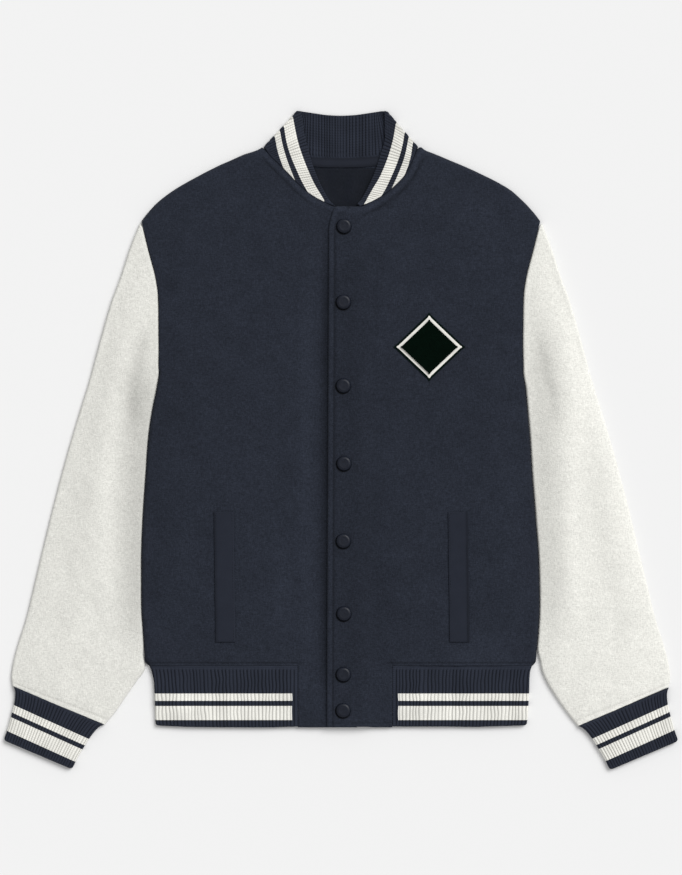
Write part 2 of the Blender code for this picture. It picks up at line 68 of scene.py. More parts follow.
# %% Heights and widths
RIB_HEIGHT, ARMPIT, SHOULDER_TIP, COLLAR_PEAK, COLLAR_DIP = 74.0, 428.0, 608.0, 739.8, 733.8
CENTRE_FRONT, LEFT_EDGE = 3.0, 19.5
RIGHT_EDGE_TOP, RIGHT_EDGE_HEM = -14.5, -16.8
CLOSING_CORNER, CLOSING_TOP = 16.0, 626.0
# the closing's top corner: half width in from the edge, and how far below the top it is
CORNER_SHAPE = {
    -1: ((0.0, 16.0), (0.5, 12.0), (2.3, 7.8), (5.0, 4.4), (9.0, 1.6), (16.0, 0.0)),
    1: ((0.0, 28.0), (0.5, 23.8), (1.9, 16.6), (3.9, 9.4), (6.3, 3.8), (7.7, 1.6), (9.5, 0.5), (16.0, 0.0)),
}
RIB_END_LEFT, RIB_END_RIGHT, RISE_END = -51.7, 62.0, 42.0
WELT_LOW, WELT_HIGH, WELT_WIDTH, WELT_X, WELT_LEAN = 102.5, 258.6, 23.8, 140.4, 2.0
PATCH_CENTRE, PATCH_HALF, PATCH_CORNER = (106.0, 456.5), (45.5, 43.5), 5.0
PATCH_STEPS = (0.0, 2.7, 6.4)
SNAP_RADIUS, SNAP_HEIGHT = 9.0, 3.0
SNAP_HEIGHTS = (602.0, 510.2, 410.2, 316.9, 223.7, 136.4, 63.0, 19.8)
# how far each cap sits from its plain place, across and up: they are pressed in by hand
SNAP_SHIFTS = (
    (1.0, -0.5), (0.3, 0.3), (0.2, 0.0), (0.9, 0.0), (0.2, 0.2), (0.9, 0.5), (0.2, 1.0), (0.0, 1.0),
)
SLEEVE_TO_BODY, ARMHOLE_GAP = 0.6, 0.4
CUFF_TOP_MIDDLE, CUFF_ANGLE = (339.2, 25.4), math.radians(23.0)
NECK_LEAN, NECK_LEAN_FADE, TOP_LEAN, TOP_LEAN_FADE = 8.0, 37.0, 5.0, 12.0
TAPE_WIDTH, TAPE_HALF = 9.4, 80.0

# %% Tables of curves
# height, half width left, half width right
BODY_SIDE = (
    (74.2, 230.5, 230.5), (77.0, 234.0, 233.0), (80.0, 235.6, 234.4), (92.0, 236.3, 235.3),
    (110.0, 237.4, 236.9), (150.0, 239.6, 238.8), (200.0, 239.7, 237.8), (250.0, 238.0, 234.1),
    (300.0, 234.7, 230.2), (350.0, 231.1, 227.0), (385.0, 226.0, 223.9), (405.0, 221.7, 222.2),
    (ARMPIT, 218.4, 218.8),
)
# height, half width
ARMHOLE = (
    (460.0, 218.1), (503.0, 218.4), (520.0, 219.0), (531.0, 220.4), (546.0, 223.2),
    (560.5, 227.1), (575.0, 231.0), (592.0, 235.2), (SHOULDER_TIP, 239.5),
)
# half width, height
SHOULDER = (
    (93.5, 697.0), (116.0, 688.5), (148.0, 674.0), (176.0, 659.5),
    (201.0, 645.0), (220.0, 630.5), (233.0, 616.5), (239.5, SHOULDER_TIP),
)
# how much lower than that each shoulder lies, by half width
SHOULDER_DROP = {
    -1: ((93.5, 0.0), (99.0, 1.1), (109.0, 0.9), (116.0, 0.35), (133.0, 0.5), (145.0, 0.0), (239.5, 0.0)),
    1: (
        (93.5, -0.9), (97.0, -0.7), (101.0, 1.0), (126.0, 1.2), (138.0, 0.65), (150.0, 0.0), (168.0, -0.9),
        (186.0, -1.8), (204.0, -2.1), (216.0, -0.6), (228.0, 0.0), (239.5, 0.0),
    ),
}
# height, half width left, half width right
RIB_SIDE = (
    (0.0, 221.0, 222.0), (2.5, 222.4, 223.6), (40.0, 223.8, 226.2),
    (54.0, 224.6, 226.8), (66.0, 227.0, 227.6), (RIB_HEIGHT, 229.6, 229.6),
)
# half width, height of the sleeve's outer edge
SLEEVE_OUTER = (
    (240.0, SHOULDER_TIP), (252.1, 577.8), (265.0, 538.7), (274.6, 513.0), (288.6, 465.0),
    (301.6, 417.0), (315.0, 373.8), (330.4, 321.0), (346.8, 258.6), (366.0, 179.4),
    (378.5, 128.0), (387.2, 101.0), (394.0, 74.0), (395.6, 60.0), (394.0, 48.8),
)
# a line straight across the sleeve: height at its outer edge, height at its inner edge
SLEEVE_SECTIONS = (
    (606.0, 600.0), (580.0, 575.0), (552.0, 546.0), (512.0, 503.0), (470.0, 460.0),
    (440.0, ARMPIT), (398.0, 385.0), (345.0, 330.0), (297.0, 280.0), (249.0, 230.0),
    (201.0, 180.0), (166.0, 143.0), (128.0, 100.0), (101.0, 71.0), (74.0, 38.0),
    (60.0, 17.0), (48.8, 2.2),
)
# height, half width left, half width right, of the sleeve's inner edge below the body's side
SLEEVE_INNER = (
    (2.2, 284.4, 284.4), (17.0, 271.8, 272.6), (38.0, 257.4, 257.8),
    (57.0, 244.2, 246.4), (71.0, 235.2, 241.0), (88.0, 238.4, 238.4),
)
# length down the cuff, half width
CUFF_SECTIONS = (
    (0.0, 59.2), (4.0, 55.6), (10.0, 52.8), (20.0, 50.0),
    (32.0, 48.0), (52.0, 45.4), (62.0, 44.8), (64.5, 42.8),
)
# neck seam half width and height, then the collar's top edge half width and height
COLLAR_FRONT = (
    (15.0, 625.6, 15.0, 628.4), (28.0, 631.0, 19.5, 634.0), (44.0, 640.0, 25.5, 644.5),
    (59.0, 652.5, 31.5, 657.0), (70.5, 665.0, 36.5, 669.0), (80.0, 677.5, 42.0, 686.5),
    (87.5, 688.0, 47.8, 709.0),
)
SHOULDER_POINT, COLLAR_FOLD_TOP = (93.5, 697.0), (52.0, COLLAR_PEAK)
# half width, height of the back neck seam, and of the back collar's top edge
BACK_NECK = ((93.5, 697.0), (80.0, 693.0), (60.0, 687.6), (40.0, 684.2), (20.0, 682.6), (0.0, 682.2))
BACK_TOP = ((52.0, 739.8), (47.5, 739.0), (38.0, 737.6), (26.0, 735.8), (13.0, 734.3), (0.0, COLLAR_DIP))
# where a rib of the back collar starts on the neck seam, and ends on the top edge
BACK_RIBS = ((76.0, 48.6), (58.0, 45.0), (44.0, 41.0), (32.0, 31.6), (16.0, 16.0), (0.0, 0.0))
# height, half width of the lining that shows
LINING = ((606.0, 14.0), (610.0, 26.0), (622.0, 38.0), (646.0, 52.0), (671.6, 62.0))


def cuff_point(along, across):
    """A point of the cuff's plan, as half width and height."""
    down, out = math.cos(CUFF_ANGLE), math.sin(CUFF_ANGLE)
    return (
        CUFF_TOP_MIDDLE[0] + along * out + across * down,
        CUFF_TOP_MIDDLE[1] - along * down + across * out,
    )


LOWEST = min(cuff_point(along, -half)[1] for along, half in CUFF_SECTIONS)
MIDDLE_UP = (COLLAR_PEAK + LOWEST) / 2
print(f"the jacket's middle is {MIDDLE_UP:.1f} mm up from the hem")

# %% [markdown]
# ## Curves through the tables
#
# A pattern cutter joins the points of a draft with a smooth curve that doesn't swing past them.
# A monotone cubic does the same for a table: two pieces that share a seam read the same curve,
# so they meet all along it.


# %% Smooth curves
def smoothstep(x, low, high):
    t = np.clip((x - low) / (high - low), 0.0, 1.0)
    return t * t * (3.0 - 2.0 * t)


def curve(rows, key=0, value=1):
    """A smooth function through two columns of a table."""
    pairs = sorted((row[key], row[value]) for row in rows)
    x, y = np.array(pairs, dtype=float).T
    step, rise = np.diff(x), np.diff(y)
    slope = rise / step
    tangent = np.concatenate([slope[:1], np.zeros(len(x) - 2), slope[-1:]])
    same_way = np.nonzero(slope[1:] * slope[:-1] > 0)[0]
    for k in same_way:
        before, after = 2 * step[k + 1] + step[k], step[k + 1] + 2 * step[k]
        tangent[k + 1] = (before + after) / (before / slope[k] + after / slope[k + 1])

    def at(q):
        q = np.clip(q, x[0], x[-1])
        k = np.clip(np.searchsorted(x, q) - 1, 0, len(x) - 2)
        t = (q - x[k]) / step[k]
        ends = y[k] * (1 + 2 * t) * (1 - t) ** 2 + y[k + 1] * t * t * (3 - 2 * t)
        pulls = tangent[k] * t * (1 - t) ** 2 + tangent[k + 1] * t * t * (t - 1)
        return ends + step[k] * pulls

    return at


def waviness(x, h, wavelength, seed, waves=7):
    """A gentle uneven swell, mostly between -1 and 1, that is the same on each run."""
    random = np.random.default_rng(seed)
    swell = np.zeros(np.broadcast(x, h).shape)
    for _ in range(waves):
        turn, phase = random.uniform(0.0, math.tau, 2)
        length = wavelength * random.uniform(0.7, 1.7)
        distance = x * math.cos(turn) + h * math.sin(turn)
        swell += np.sin(distance * math.tau / length + phase)
    return swell / math.sqrt(waves)


def distance_to(x, h, line):
    """How far plan points lie from an open line, how far along it (0 to 1), and its left normal there."""
    line = np.array(line, dtype=float)
    spans = np.diff(line, axis=0)
    lengths = np.linalg.norm(spans, axis=1)
    nearest = np.full(np.broadcast(x, h).shape, np.inf)
    place, normal = np.zeros_like(nearest), np.zeros((*nearest.shape, 2))
    passed = 0.0
    for start, span, length in zip(line, spans, lengths):
        t = np.clip(((x - start[0]) * span[0] + (h - start[1]) * span[1]) / length**2, 0.0, 1.0)
        gap = np.hypot(x - start[0] - t * span[0], h - start[1] - t * span[1])
        place = np.where(gap < nearest, passed + t * length, place)
        normal[gap < nearest] = (-span[1] / length, span[0] / length)
        nearest = np.minimum(nearest, gap)
        passed += length
    return nearest, place / passed, normal


def rolled(distance, radius):
    """How far a rounded edge has dropped at this distance in from it."""
    inside = np.clip(radius - distance, 0.0, radius)
    return radius - np.sqrt(radius**2 - inside**2)


def body_edge(side):
    """Half width of the body's side and armhole at a height."""
    which = 1 if side < 0 else 2
    return curve([(row[0], row[which]) for row in BODY_SIDE] + list(ARMHOLE))


print(f"half width at the chest: {float(body_edge(1)(430.0)):.1f} mm")

# %% [markdown]
# ## Cloth as a thin shell
#
# Every panel of a jacket is a sheet with a thickness. A subdivided plane with a Solidify modifier
# gives that, but its wall stands straight on the sheet and cuts through itself in tight folds. Here
# each panel is two grids of points instead, its face and its lining side, and one helper sews
# them into a closed wall. Attributes on the points carry what the finish needs: the tone, which
# holds painted shade and painted light as well as uneven colour, and the place on the cloth for
# stripes.


# %% The shell helper
def normals(grid):
    """Unit normals of a grid of points, from its own rows and columns."""
    across, up = np.gradient(grid, axis=1), np.gradient(grid, axis=0)
    normal = np.cross(across, up)
    return normal / np.maximum(np.linalg.norm(normal, axis=-1, keepdims=True), 1e-9)


def to_metres(points):
    return (np.asarray(points, dtype=float) - (0.0, MIDDLE_UP, 0.0)) * MM


def mesh_piece(name, points, faces, attributes, material):
    """A smooth-shaded object from points in jacket millimetres."""
    mesh = bpy.data.meshes.new(name)
    mesh.from_pydata(to_metres(points).tolist(), [], faces.tolist())
    for key, values in attributes.items():
        kind = "FLOAT" if values.ndim == 1 else "FLOAT_VECTOR"
        stored = mesh.attributes.new(key, kind, "POINT")
        stored.data.foreach_set("value" if values.ndim == 1 else "vector", values.astype("f").ravel())
    mesh.shade_smooth()
    mesh.update()
    piece = bpy.data.objects.new(name, mesh)
    bpy.context.scene.collection.objects.link(piece)
    piece.data.materials.append(material)
    return piece


def shell(name, outer, inner, material, attributes, keep=None, wrap=False, flip=False):
    """A closed wall between two grids of points. Cells outside the mask `keep` are left open."""
    rows, columns = outer.shape[:2]
    i, j = np.mgrid[0 : rows - 1, 0 : columns if wrap else columns - 1]
    if keep is not None:
        i, j = i[keep], j[keep]
    i, j = i.ravel(), j.ravel()
    k = (j + 1) % columns
    face = np.stack([i * columns + j, i * columns + k, (i + 1) * columns + k, (i + 1) * columns + j], 1)
    if flip:
        face = face[:, ::-1]
    size = rows * columns
    edges = np.concatenate([face[:, [a, (a + 1) % 4]] for a in range(4)])
    key = np.sort(edges, axis=1) @ np.array([size, 1])
    _, where, count = np.unique(key, return_index=True, return_counts=True)
    a, b = edges[where[count == 1]].T
    rim = np.stack([b, a, a + size, b + size], 1)
    faces = np.concatenate([face, face[:, ::-1] + size, rim])
    points = np.concatenate([outer.reshape(-1, 3), inner.reshape(-1, 3)])
    used, faces = np.unique(faces, return_inverse=True)
    faces = faces.reshape(-1, 4)
    doubled = {}
    for key, values in attributes.items():
        front, reverse = values if isinstance(values, tuple) else (values, values)
        shape = (-1,) if front.ndim == 2 else (-1, 3)
        doubled[key] = np.concatenate([front.reshape(shape), reverse.reshape(shape)])[used]
    return mesh_piece(name, points[used], faces, doubled, material)


print("shell helper ready")

# %% [markdown]
# ## Soft folds
#
# Laid cloth is never dead flat. Each fold is one row of a table: the line it follows, how wide and
# how high it stands (or how deep it sinks), and how much lighter or darker its colour is painted
# there, as a tone: painted light on ridges and painted shade in hollows. Real folds differ in
# length, width and depth, so each is listed one by one.

# %% Tables of folds
# tone is painted light where above 0 and painted shade where below 0
Fold = namedtuple("Fold", "path width height tone")
BODY_FOLDS = (
    # the rise of the under front beside the closing, and the valley along the closing
    Fold(((-41, 20), (-43, 150), (-44, 300), (-42, 470), (-36, 585)), 11.0, 1.5, 0.16),
    Fold(((-20.5, -10), (-20, 300), (-18.5, 615)), 5.5, -1.5, -0.30),
    Fold(((-15, 30), (-62, 62), (-70, 110), (-66, 190)), 15.0, 0.5, 0.08),
    # the upper front is painted darker beside the closing, as painted shade
    Fold(((14, -20), (12, 300), (8, 640)), 26.0, 0.0, -0.16),
    Fold(((52, 60), (44, 200), (40, 330)), 16.0, -0.4, -0.06),
    # long soft swells of the right half
    Fold(((120, 90), (150, 70), (205, 95)), 30.0, 0.9, 0.16),
    Fold(((205, 330), (198, 240), (206, 150)), 16.0, 0.7, 0.06),
    Fold(((178, 156), (184, 128)), 9.0, -0.6, -0.10),
    Fold(((170, 520), (190, 560), (150, 640)), 26.0, 0.6, 0.07),
    Fold(((62, 500), (70, 560), (60, 610)), 20.0, 0.5, 0.05),
    # the left half
    Fold(((-205, 538), (-208, 515)), 8.0, -0.7, -0.12),
    Fold(((-198, 480), (-190, 400), (-205, 330)), 15.0, -0.7, -0.06),
    Fold(((-226, 120), (-222, 250), (-214, 420)), 12.0, -0.4, -0.08),
    Fold(((-110, 330), (-95, 250), (-100, 170)), 24.0, 0.6, 0.04),
    Fold(((-85, 100), (-72, 160), (-76, 240)), 14.0, 0.5, 0.05),
)
# armhole hollow, the crease below the armpit, then the long folds down to the cuff
LEFT_SLEEVE_FOLDS = (
    Fold(((-236, 470), (-240, 405), (-241, 333), (-245, 240), (-245, 150), (-245, 70)), 26.0, -1.8, -0.24),
    Fold(((-229, 482), (-241, 453), (-249, 411), (-252, 350)), 8.0, -1.4, -0.10),
    Fold(((-241, 520), (-262, 453), (-272, 393), (-281, 333), (-284, 273), (-284, 200), (-280, 90)),
         15.0, 1.6, 0.05),
    Fold(((-262, 520), (-298, 393), (-322, 250), (-343, 93)), 15.0, -1.2, -0.03),
    Fold(((-300, 150), (-318, 110), (-352, 80)), 14.0, 0.8, 0.02),
)
RIGHT_SLEEVE_FOLDS = (
    Fold(((232, 520), (238, 453), (243, 393), (240, 333), (242, 240), (244, 150), (245, 70)),
         20.0, -1.6, -0.20),
    Fold(((233, 477), (245, 429), (254, 393), (254, 350)), 8.0, -1.3, -0.08),
    Fold(((262, 500), (280, 393), (275, 333), (272, 273), (272, 210), (278, 150), (288, 93)),
         13.0, 1.5, 0.03),
    Fold(((299, 345), (306, 270), (312, 213), (332, 130), (322, 51)), 15.0, -1.5, -0.05),
    Fold(((263, 549), (311, 393), (347, 249), (377, 105)), 18.0, 0.8, 0.05),
)


def folded(folds, x, h):
    """Height and tone, the painted shade and light, that a table of folds gives to plan points."""
    height, tone = np.zeros(x.shape), np.zeros(x.shape)
    for fold in folds:
        away, place, _ = distance_to(x, h, fold.path)
        ends = smoothstep(place, 0.0, 0.22) * smoothstep(1.0 - place, 0.0, 0.22)
        shape = np.exp(-((away / fold.width) ** 2)) * (0.15 + 0.85 * ends)
        shape *= np.where((place > 0.0) & (place < 1.0), 1.0, np.exp(-((away / fold.width) ** 2)))
        height += fold.height * shape
        tone += fold.tone * shape
    return height, tone


print("folds on body and sleeves:", len(BODY_FOLDS), len(LEFT_SLEEVE_FOLDS), len(RIGHT_SLEEVE_FOLDS))

# %% [markdown]
# ## Materials: node helpers
#
# Each finish is a small node tree. Colour starts from one measured colour, gets flecks and fibre
# streaks from noise in object space, and is darkened or lightened by the tone that the folds and
# seams gave to the points, which is painted shade and painted light. Values that are the same all
# over stay on the shader's own sockets.


# %% Node helpers
def new_material(name, roughness, sheen=0.0, sheen_roughness=0.5, specular=0.5):
    material = bpy.data.materials.new(name)
    material.use_nodes = True
    shader = material.node_tree.nodes["Principled BSDF"]
    shader.inputs["Roughness"].default_value = roughness
    shader.inputs["Sheen Weight"].default_value = sheen
    shader.inputs["Sheen Roughness"].default_value = sheen_roughness
    shader.inputs["Specular IOR Level"].default_value = specular
    return material, material.node_tree, shader


def node(tree, kind, inputs=(), **settings):
    """Add a node. An input given as a socket is linked, and any other is a value."""
    made = tree.nodes.new("ShaderNode" + kind)
    for key, value in settings.items():
        setattr(made, key, value)
    for key, value in dict(inputs).items():
        if isinstance(value, bpy.types.NodeSocket):
            tree.links.new(value, made.inputs[key])
        else:
            made.inputs[key].default_value = value
    return made


def noise(tree, size, detail=3.0, stretch=(1.0, 1.0, 1.0), rough=0.55):
    """Noise in object space with features of about `size` millimetres."""
    place = node(tree, "TexCoord").outputs["Object"]
    if stretch != (1.0, 1.0, 1.0):
        scale = [1.0 / s for s in stretch]
        place = node(tree, "Mapping", {"Vector": place, "Scale": scale}).outputs["Vector"]
    values = {"Vector": place, "Scale": 1.0 / (size * MM), "Detail": detail, "Roughness": rough}
    return node(tree, "TexNoise", values).outputs["Fac"]


def spread(tree, value, low, high, start=0.3, end=0.7):
    """Map a noise value onto a range."""
    inputs = {"Value": value, "From Min": start, "From Max": end, "To Min": low, "To Max": high}
    return node(tree, "MapRange", inputs, clamp=False).outputs["Result"]


def product(tree, values):
    """Multiply several values."""
    result = values[0]
    for value in values[1:]:
        result = node(tree, "Math", {0: result, 1: value}, operation="MULTIPLY").outputs[0]
    return result


def total(tree, values):
    """Add several values."""
    result = values[0]
    for value in values[1:]:
        result = node(tree, "Math", {0: result, 1: value}, operation="ADD").outputs[0]
    return result


def attribute(tree, name, output="Fac"):
    return node(tree, "Attribute", attribute_name=name).outputs[output]


def bumped(tree, shader, height, strength, depth):
    """Bump of `depth` millimetres under a height value."""
    inputs = {"Height": height, "Strength": strength, "Distance": depth * MM}
    tree.links.new(node(tree, "Bump", inputs).outputs["Normal"], shader.inputs["Normal"])


def tinted(tree, shader, colour, value):
    """A colour whose brightness is scaled by a value."""
    if not isinstance(colour, bpy.types.NodeSocket):
        colour = (*colour, 1.0)
    scaled = node(tree, "HueSaturation", {"Color": colour, "Value": value})
    tree.links.new(scaled.outputs["Color"], shader.inputs["Base Color"])


print("node helpers ready")

# %% [markdown]
# ## Wool
#
# Melton is woven, shrunk and brushed until the weave nearly disappears: up close there are soft
# flecks, short crossing fibres and a faint velvet sheen. The sleeves are a looser wool, where the
# crossing threads still show a little. Both come from one function with different numbers.


# %% Wool materials
def painted_shade_round_snaps(tree):
    """Painted shade in a ring round each snap, deepest on the side away from the light."""
    snap = attribute(tree, "snap", "Vector")
    moved = node(tree, "VectorMath", {0: snap, 1: (0.65, 0.95, 0.0)}, operation="ADD").outputs["Vector"]
    split = node(tree, "SeparateXYZ", {"Vector": moved})
    flat = node(tree, "CombineXYZ", {"X": split.outputs["X"], "Y": split.outputs["Y"]}).outputs["Vector"]
    distance = node(tree, "VectorMath", {0: flat}, operation="LENGTH").outputs["Value"]
    values = {"Value": distance, "From Min": 8.8, "From Max": 10.3, "To Min": 0.85, "To Max": 0.0}
    depth = node(tree, "MapRange", values, interpolation_type="SMOOTHSTEP").outputs["Result"]
    depth = product(tree, [depth, split.outputs["Z"]])
    return node(tree, "Math", {0: 1.0, 1: depth}, operation="SUBTRACT").outputs[0]


def wool(name, colour, fleck, streak, cloud, nap):
    """Brushed wool: flecks, crossing fibres and clouds, each with its strength."""
    material, tree, shader = new_material(name, roughness=0.95, sheen=0.04, specular=0.10)
    flecks = noise(tree, 1.4, detail=5.0, rough=0.75)
    across = noise(tree, 1.3, detail=2.0, stretch=(3.2, 1.0, 1.0))
    along = noise(tree, 1.3, detail=2.0, stretch=(1.0, 3.2, 1.0))
    clouds = noise(tree, 22.0, detail=4.0, rough=0.6)
    parts = [
        # the tone attribute and the ring round each snap paint shade and light into the colour
        attribute(tree, "tone"),
        painted_shade_round_snaps(tree),
        spread(tree, flecks, 1.0 - fleck, 1.0 + fleck),
        spread(tree, across, 1.0 - streak, 1.0 + streak),
        spread(tree, along, 1.0 - streak, 1.0 + streak),
        spread(tree, clouds, 1.0 - cloud, 1.0 + cloud),
    ]
    tinted(tree, shader, colour, product(tree, parts))
    fibres = noise(tree, 0.7, detail=3.0, rough=0.7)
    bumped(tree, shader, total(tree, [flecks, across, along, fibres]), nap, 0.35)
    return material


NAVY = wool("navy melton", (0.0188, 0.0226, 0.0334), fleck=0.27, streak=0.19, cloud=0.09, nap=0.6)
CREAM = wool("cream wool", (0.760, 0.755, 0.708), fleck=0.075, streak=0.085, cloud=0.02, nap=0.8)
print("wool:", NAVY.name, CREAM.name)

# %% [markdown]
# ## The fronts
#
# A front is cut from side seam to closing, wraps a little round the side and over the shoulder,
# and beside the hem band it runs down as a tab. The grid follows the cut: columns fan from the
# closing edge to the side, rows run from the hem band up to the neck and shoulder. Extra rows and
# columns stand where an edge rolls or a seam sinks in, because a groove needs points.


# %% Neck lines
def seam_lean(height):
    return NECK_LEAN * smoothstep(SHOULDER_POINT[1] - height, 0.0, NECK_LEAN_FADE)


def top_lean(height):
    return TOP_LEAN * smoothstep(COLLAR_PEAK - height, 0.0, TOP_LEAN_FADE)


def neck_seam(side):
    """The front neck seam from the closing to the shoulder, in jacket coordinates."""
    rows = [(row[0], row[1]) for row in COLLAR_FRONT] + [SHOULDER_POINT]
    return [(side * x + float(seam_lean(h)), h) for x, h in rows]


def closing_edge(side):
    """Half widths of a front's closing edge at its top and at the hem."""
    return (RIGHT_EDGE_TOP, RIGHT_EDGE_HEM) if side > 0 else (-LEFT_EDGE, -LEFT_EDGE)


def top_line(side):
    """The front's upper edge as a function of half width: closing corner, neck, shoulder."""
    start = closing_edge(side)[0]
    corner_end = start + CLOSING_CORNER
    corner_top = CLOSING_TOP - (0.4 if side > 0 else 1.4)
    seam = [(side * x + 3 * JOIN, h - 4 * JOIN) for x, h in neck_seam(side)]
    neck = curve([(corner_end, corner_top)] + [p for p in seam if p[0] > corner_end + 2.0])
    shoulder = curve([(SHOULDER_POINT[0] + 3 * JOIN, SHOULDER_POINT[1] - 4 * JOIN), *SHOULDER[1:]])
    corner_drop, shoulder_drop = curve(CORNER_SHAPE[side]), curve(SHOULDER_DROP[side])

    def at(x):
        corner = corner_top - corner_drop(x - start)
        top = np.where(x < SHOULDER_POINT[0] + 3 * JOIN, neck(x), shoulder(x) - shoulder_drop(x))
        return np.where(x < corner_end, corner, top)

    return at


def offset_line(line, distance):
    """A line moved sideways to its right by a distance."""
    line = np.array(line, dtype=float)
    along = np.gradient(line, axis=0)
    along /= np.linalg.norm(along, axis=1, keepdims=True)
    return line + distance * np.stack([along[:, 1], -along[:, 0]], axis=1)


# %% The front's surface
NECK_STITCH = {-1: 9.0, 1: 10.6}  # from the neck seam, left and right
NECK_TONES = {-1: (0.10, 0.19), 1: (0.08, 0.25)}  # shade in the neck seam, light on the ridge beside it
CLOSING_STITCH, HEM_STITCH, HEM_SEAM = 6.8, 5.4, 77.0
PUFF = 1.6  # how far a front swells between its seams
TAB_RAISE = 1.0  # how much higher the upper front ends than the under one
SNAP_SHADE_REACH = 14.0  # how far from a snap's middle the painted shade round it reaches


def overlap_rise(x):
    return OVERLAP_RISE * (1.0 - smoothstep(x, LEFT_EDGE + 1.0, RISE_END))


def neck_stitch_line(side):
    """Topstitching that follows the neck seam on the fronts."""
    return offset_line(neck_seam(side), side * NECK_STITCH[side])[:-1]


def front_height(side, x, h):
    """Height of a front's face over the table, without its rolled edges. Also its tone, the painted shade and
    light of its folds.
    """
    relief, tone = folded(BODY_FOLDS, x, h)
    edge = body_edge(side)(h)
    half = np.abs(x)
    swell = smoothstep(half, 26.0, 90.0) * smoothstep(edge - half, 0.0, 45.0)
    swell *= smoothstep(h, RIB_HEIGHT, RIB_HEIGHT + 60.0) * smoothstep(700.0 - h, 40.0, 150.0)
    wander = 0.35 * waviness(x, h, 70.0, seed=11) + 0.12 * waviness(x, h, 22.0, seed=12)
    relief = relief + PUFF * swell + wander * smoothstep(half, 24.0, 45.0)
    # the band draws the cloth above it into small puckers
    pucker = waviness(x, h * 0.12, 9.0, seed=13) * np.exp(-np.abs(h - HEM_SEAM - 4.0) / 13.0)
    relief = relief + 0.22 * pucker * smoothstep(half, 60.0, 75.0)
    if side > 0:
        relief = relief * smoothstep(x, -16.0, 10.0) + overlap_rise(x)
    else:
        relief = relief * (1.0 - smoothstep(x, -19.0, -15.0))
    return FRONT_TOP + relief, 1.0 + tone


def groove(distance, depth, width):
    return depth * np.exp(-((distance / width) ** 2))


def front_grid(side):
    """Plan points of one front, the mask of its cells, and its lines for seams and edges."""
    edge_top, edge_hem = closing_edge(side)
    rib_end = RIB_END_RIGHT if side > 0 else -RIB_END_LEFT
    tip = SHOULDER[-1][0]
    quarter = np.radians(np.linspace(90.0, 0.0, 8))
    roll_in = EDGE_ROLL * (1.0 - np.cos(quarter))
    lip_in = np.array([0.0, 0.15, 0.5, 1.2, 2.4, 4.4, 5.8, 6.8, 7.8, 9.2])
    seam_at = rib_end + np.array([-3.0, -1.6, -0.7, -JOIN, 0.7, 1.6, 3.0])
    even = np.arange(edge_top + 12.0, tip - EDGE_ROLL - 1.5, 3.0)
    even = even[np.abs(even - rib_end) > 4.5]
    columns = np.sort(np.concatenate([edge_top + lip_in, even, seam_at, tip - roll_in]))
    u = (columns - edge_top) / (tip - edge_top)
    rib_column = int(np.argmin(np.abs(columns - (rib_end - JOIN))))

    low = RIB_HEIGHT + JOIN
    near_seam = np.array([0.0, 0.8, 1.6, 2.2, 2.8, 3.4, 4.2, 5.4])
    near_top = np.array([0.0, 0.4, 1.2, 2.4, 4.4, 7.0])
    near_top = np.union1d(near_top, roll_in * 1.25)
    heights = np.concatenate(
        [low + near_seam, np.arange(low + 8.0, SHOULDER_TIP - 9.5, 3.1), SHOULDER_TIP - near_top[::-1]]
    )
    v = (heights - low) / (SHOULDER_TIP - low)
    side_x = body_edge(side)(heights)
    edge_x = edge_hem + (edge_top - edge_hem) * v
    natural = edge_x[:, None] + u[None, :] * (side_x - edge_x)[:, None]
    pinned = np.array([
        np.interp(u, [0.0, u[rib_column], 1.0], [e, rib_end - JOIN, s]) for e, s in zip(edge_x, side_x)
    ])
    x = pinned + (natural - pinned) * smoothstep(heights, low + 4.0, low + 110.0)[:, None]
    top = top_line(side)(columns)
    h = low + v[:, None] * (top[None, :] - low)

    tab_heights = np.array([0.0, 0.3, 0.9, 1.8, 3.6, 4.6, 5.4, 6.2, 7.4, *np.arange(10.0, low - 1.0, 3.2)])
    tab_x = np.repeat(x[:1], len(tab_heights), axis=0)
    tab_h = np.repeat(tab_heights[:, None], len(columns), axis=1)
    if side > 0:
        raised = TAB_RAISE * (1.0 - smoothstep(tab_x, 26.0, 44.0))
        tab_h = tab_h + raised * (1.0 - smoothstep(tab_h, 0.0, 30.0))
    x, h = np.vstack([tab_x, x]), np.vstack([tab_h, h])
    keep = np.ones((x.shape[0] - 1, x.shape[1] - 1), dtype=bool)
    keep[: len(tab_heights), rib_column:] = False
    return x, h, keep, (edge_x, heights)


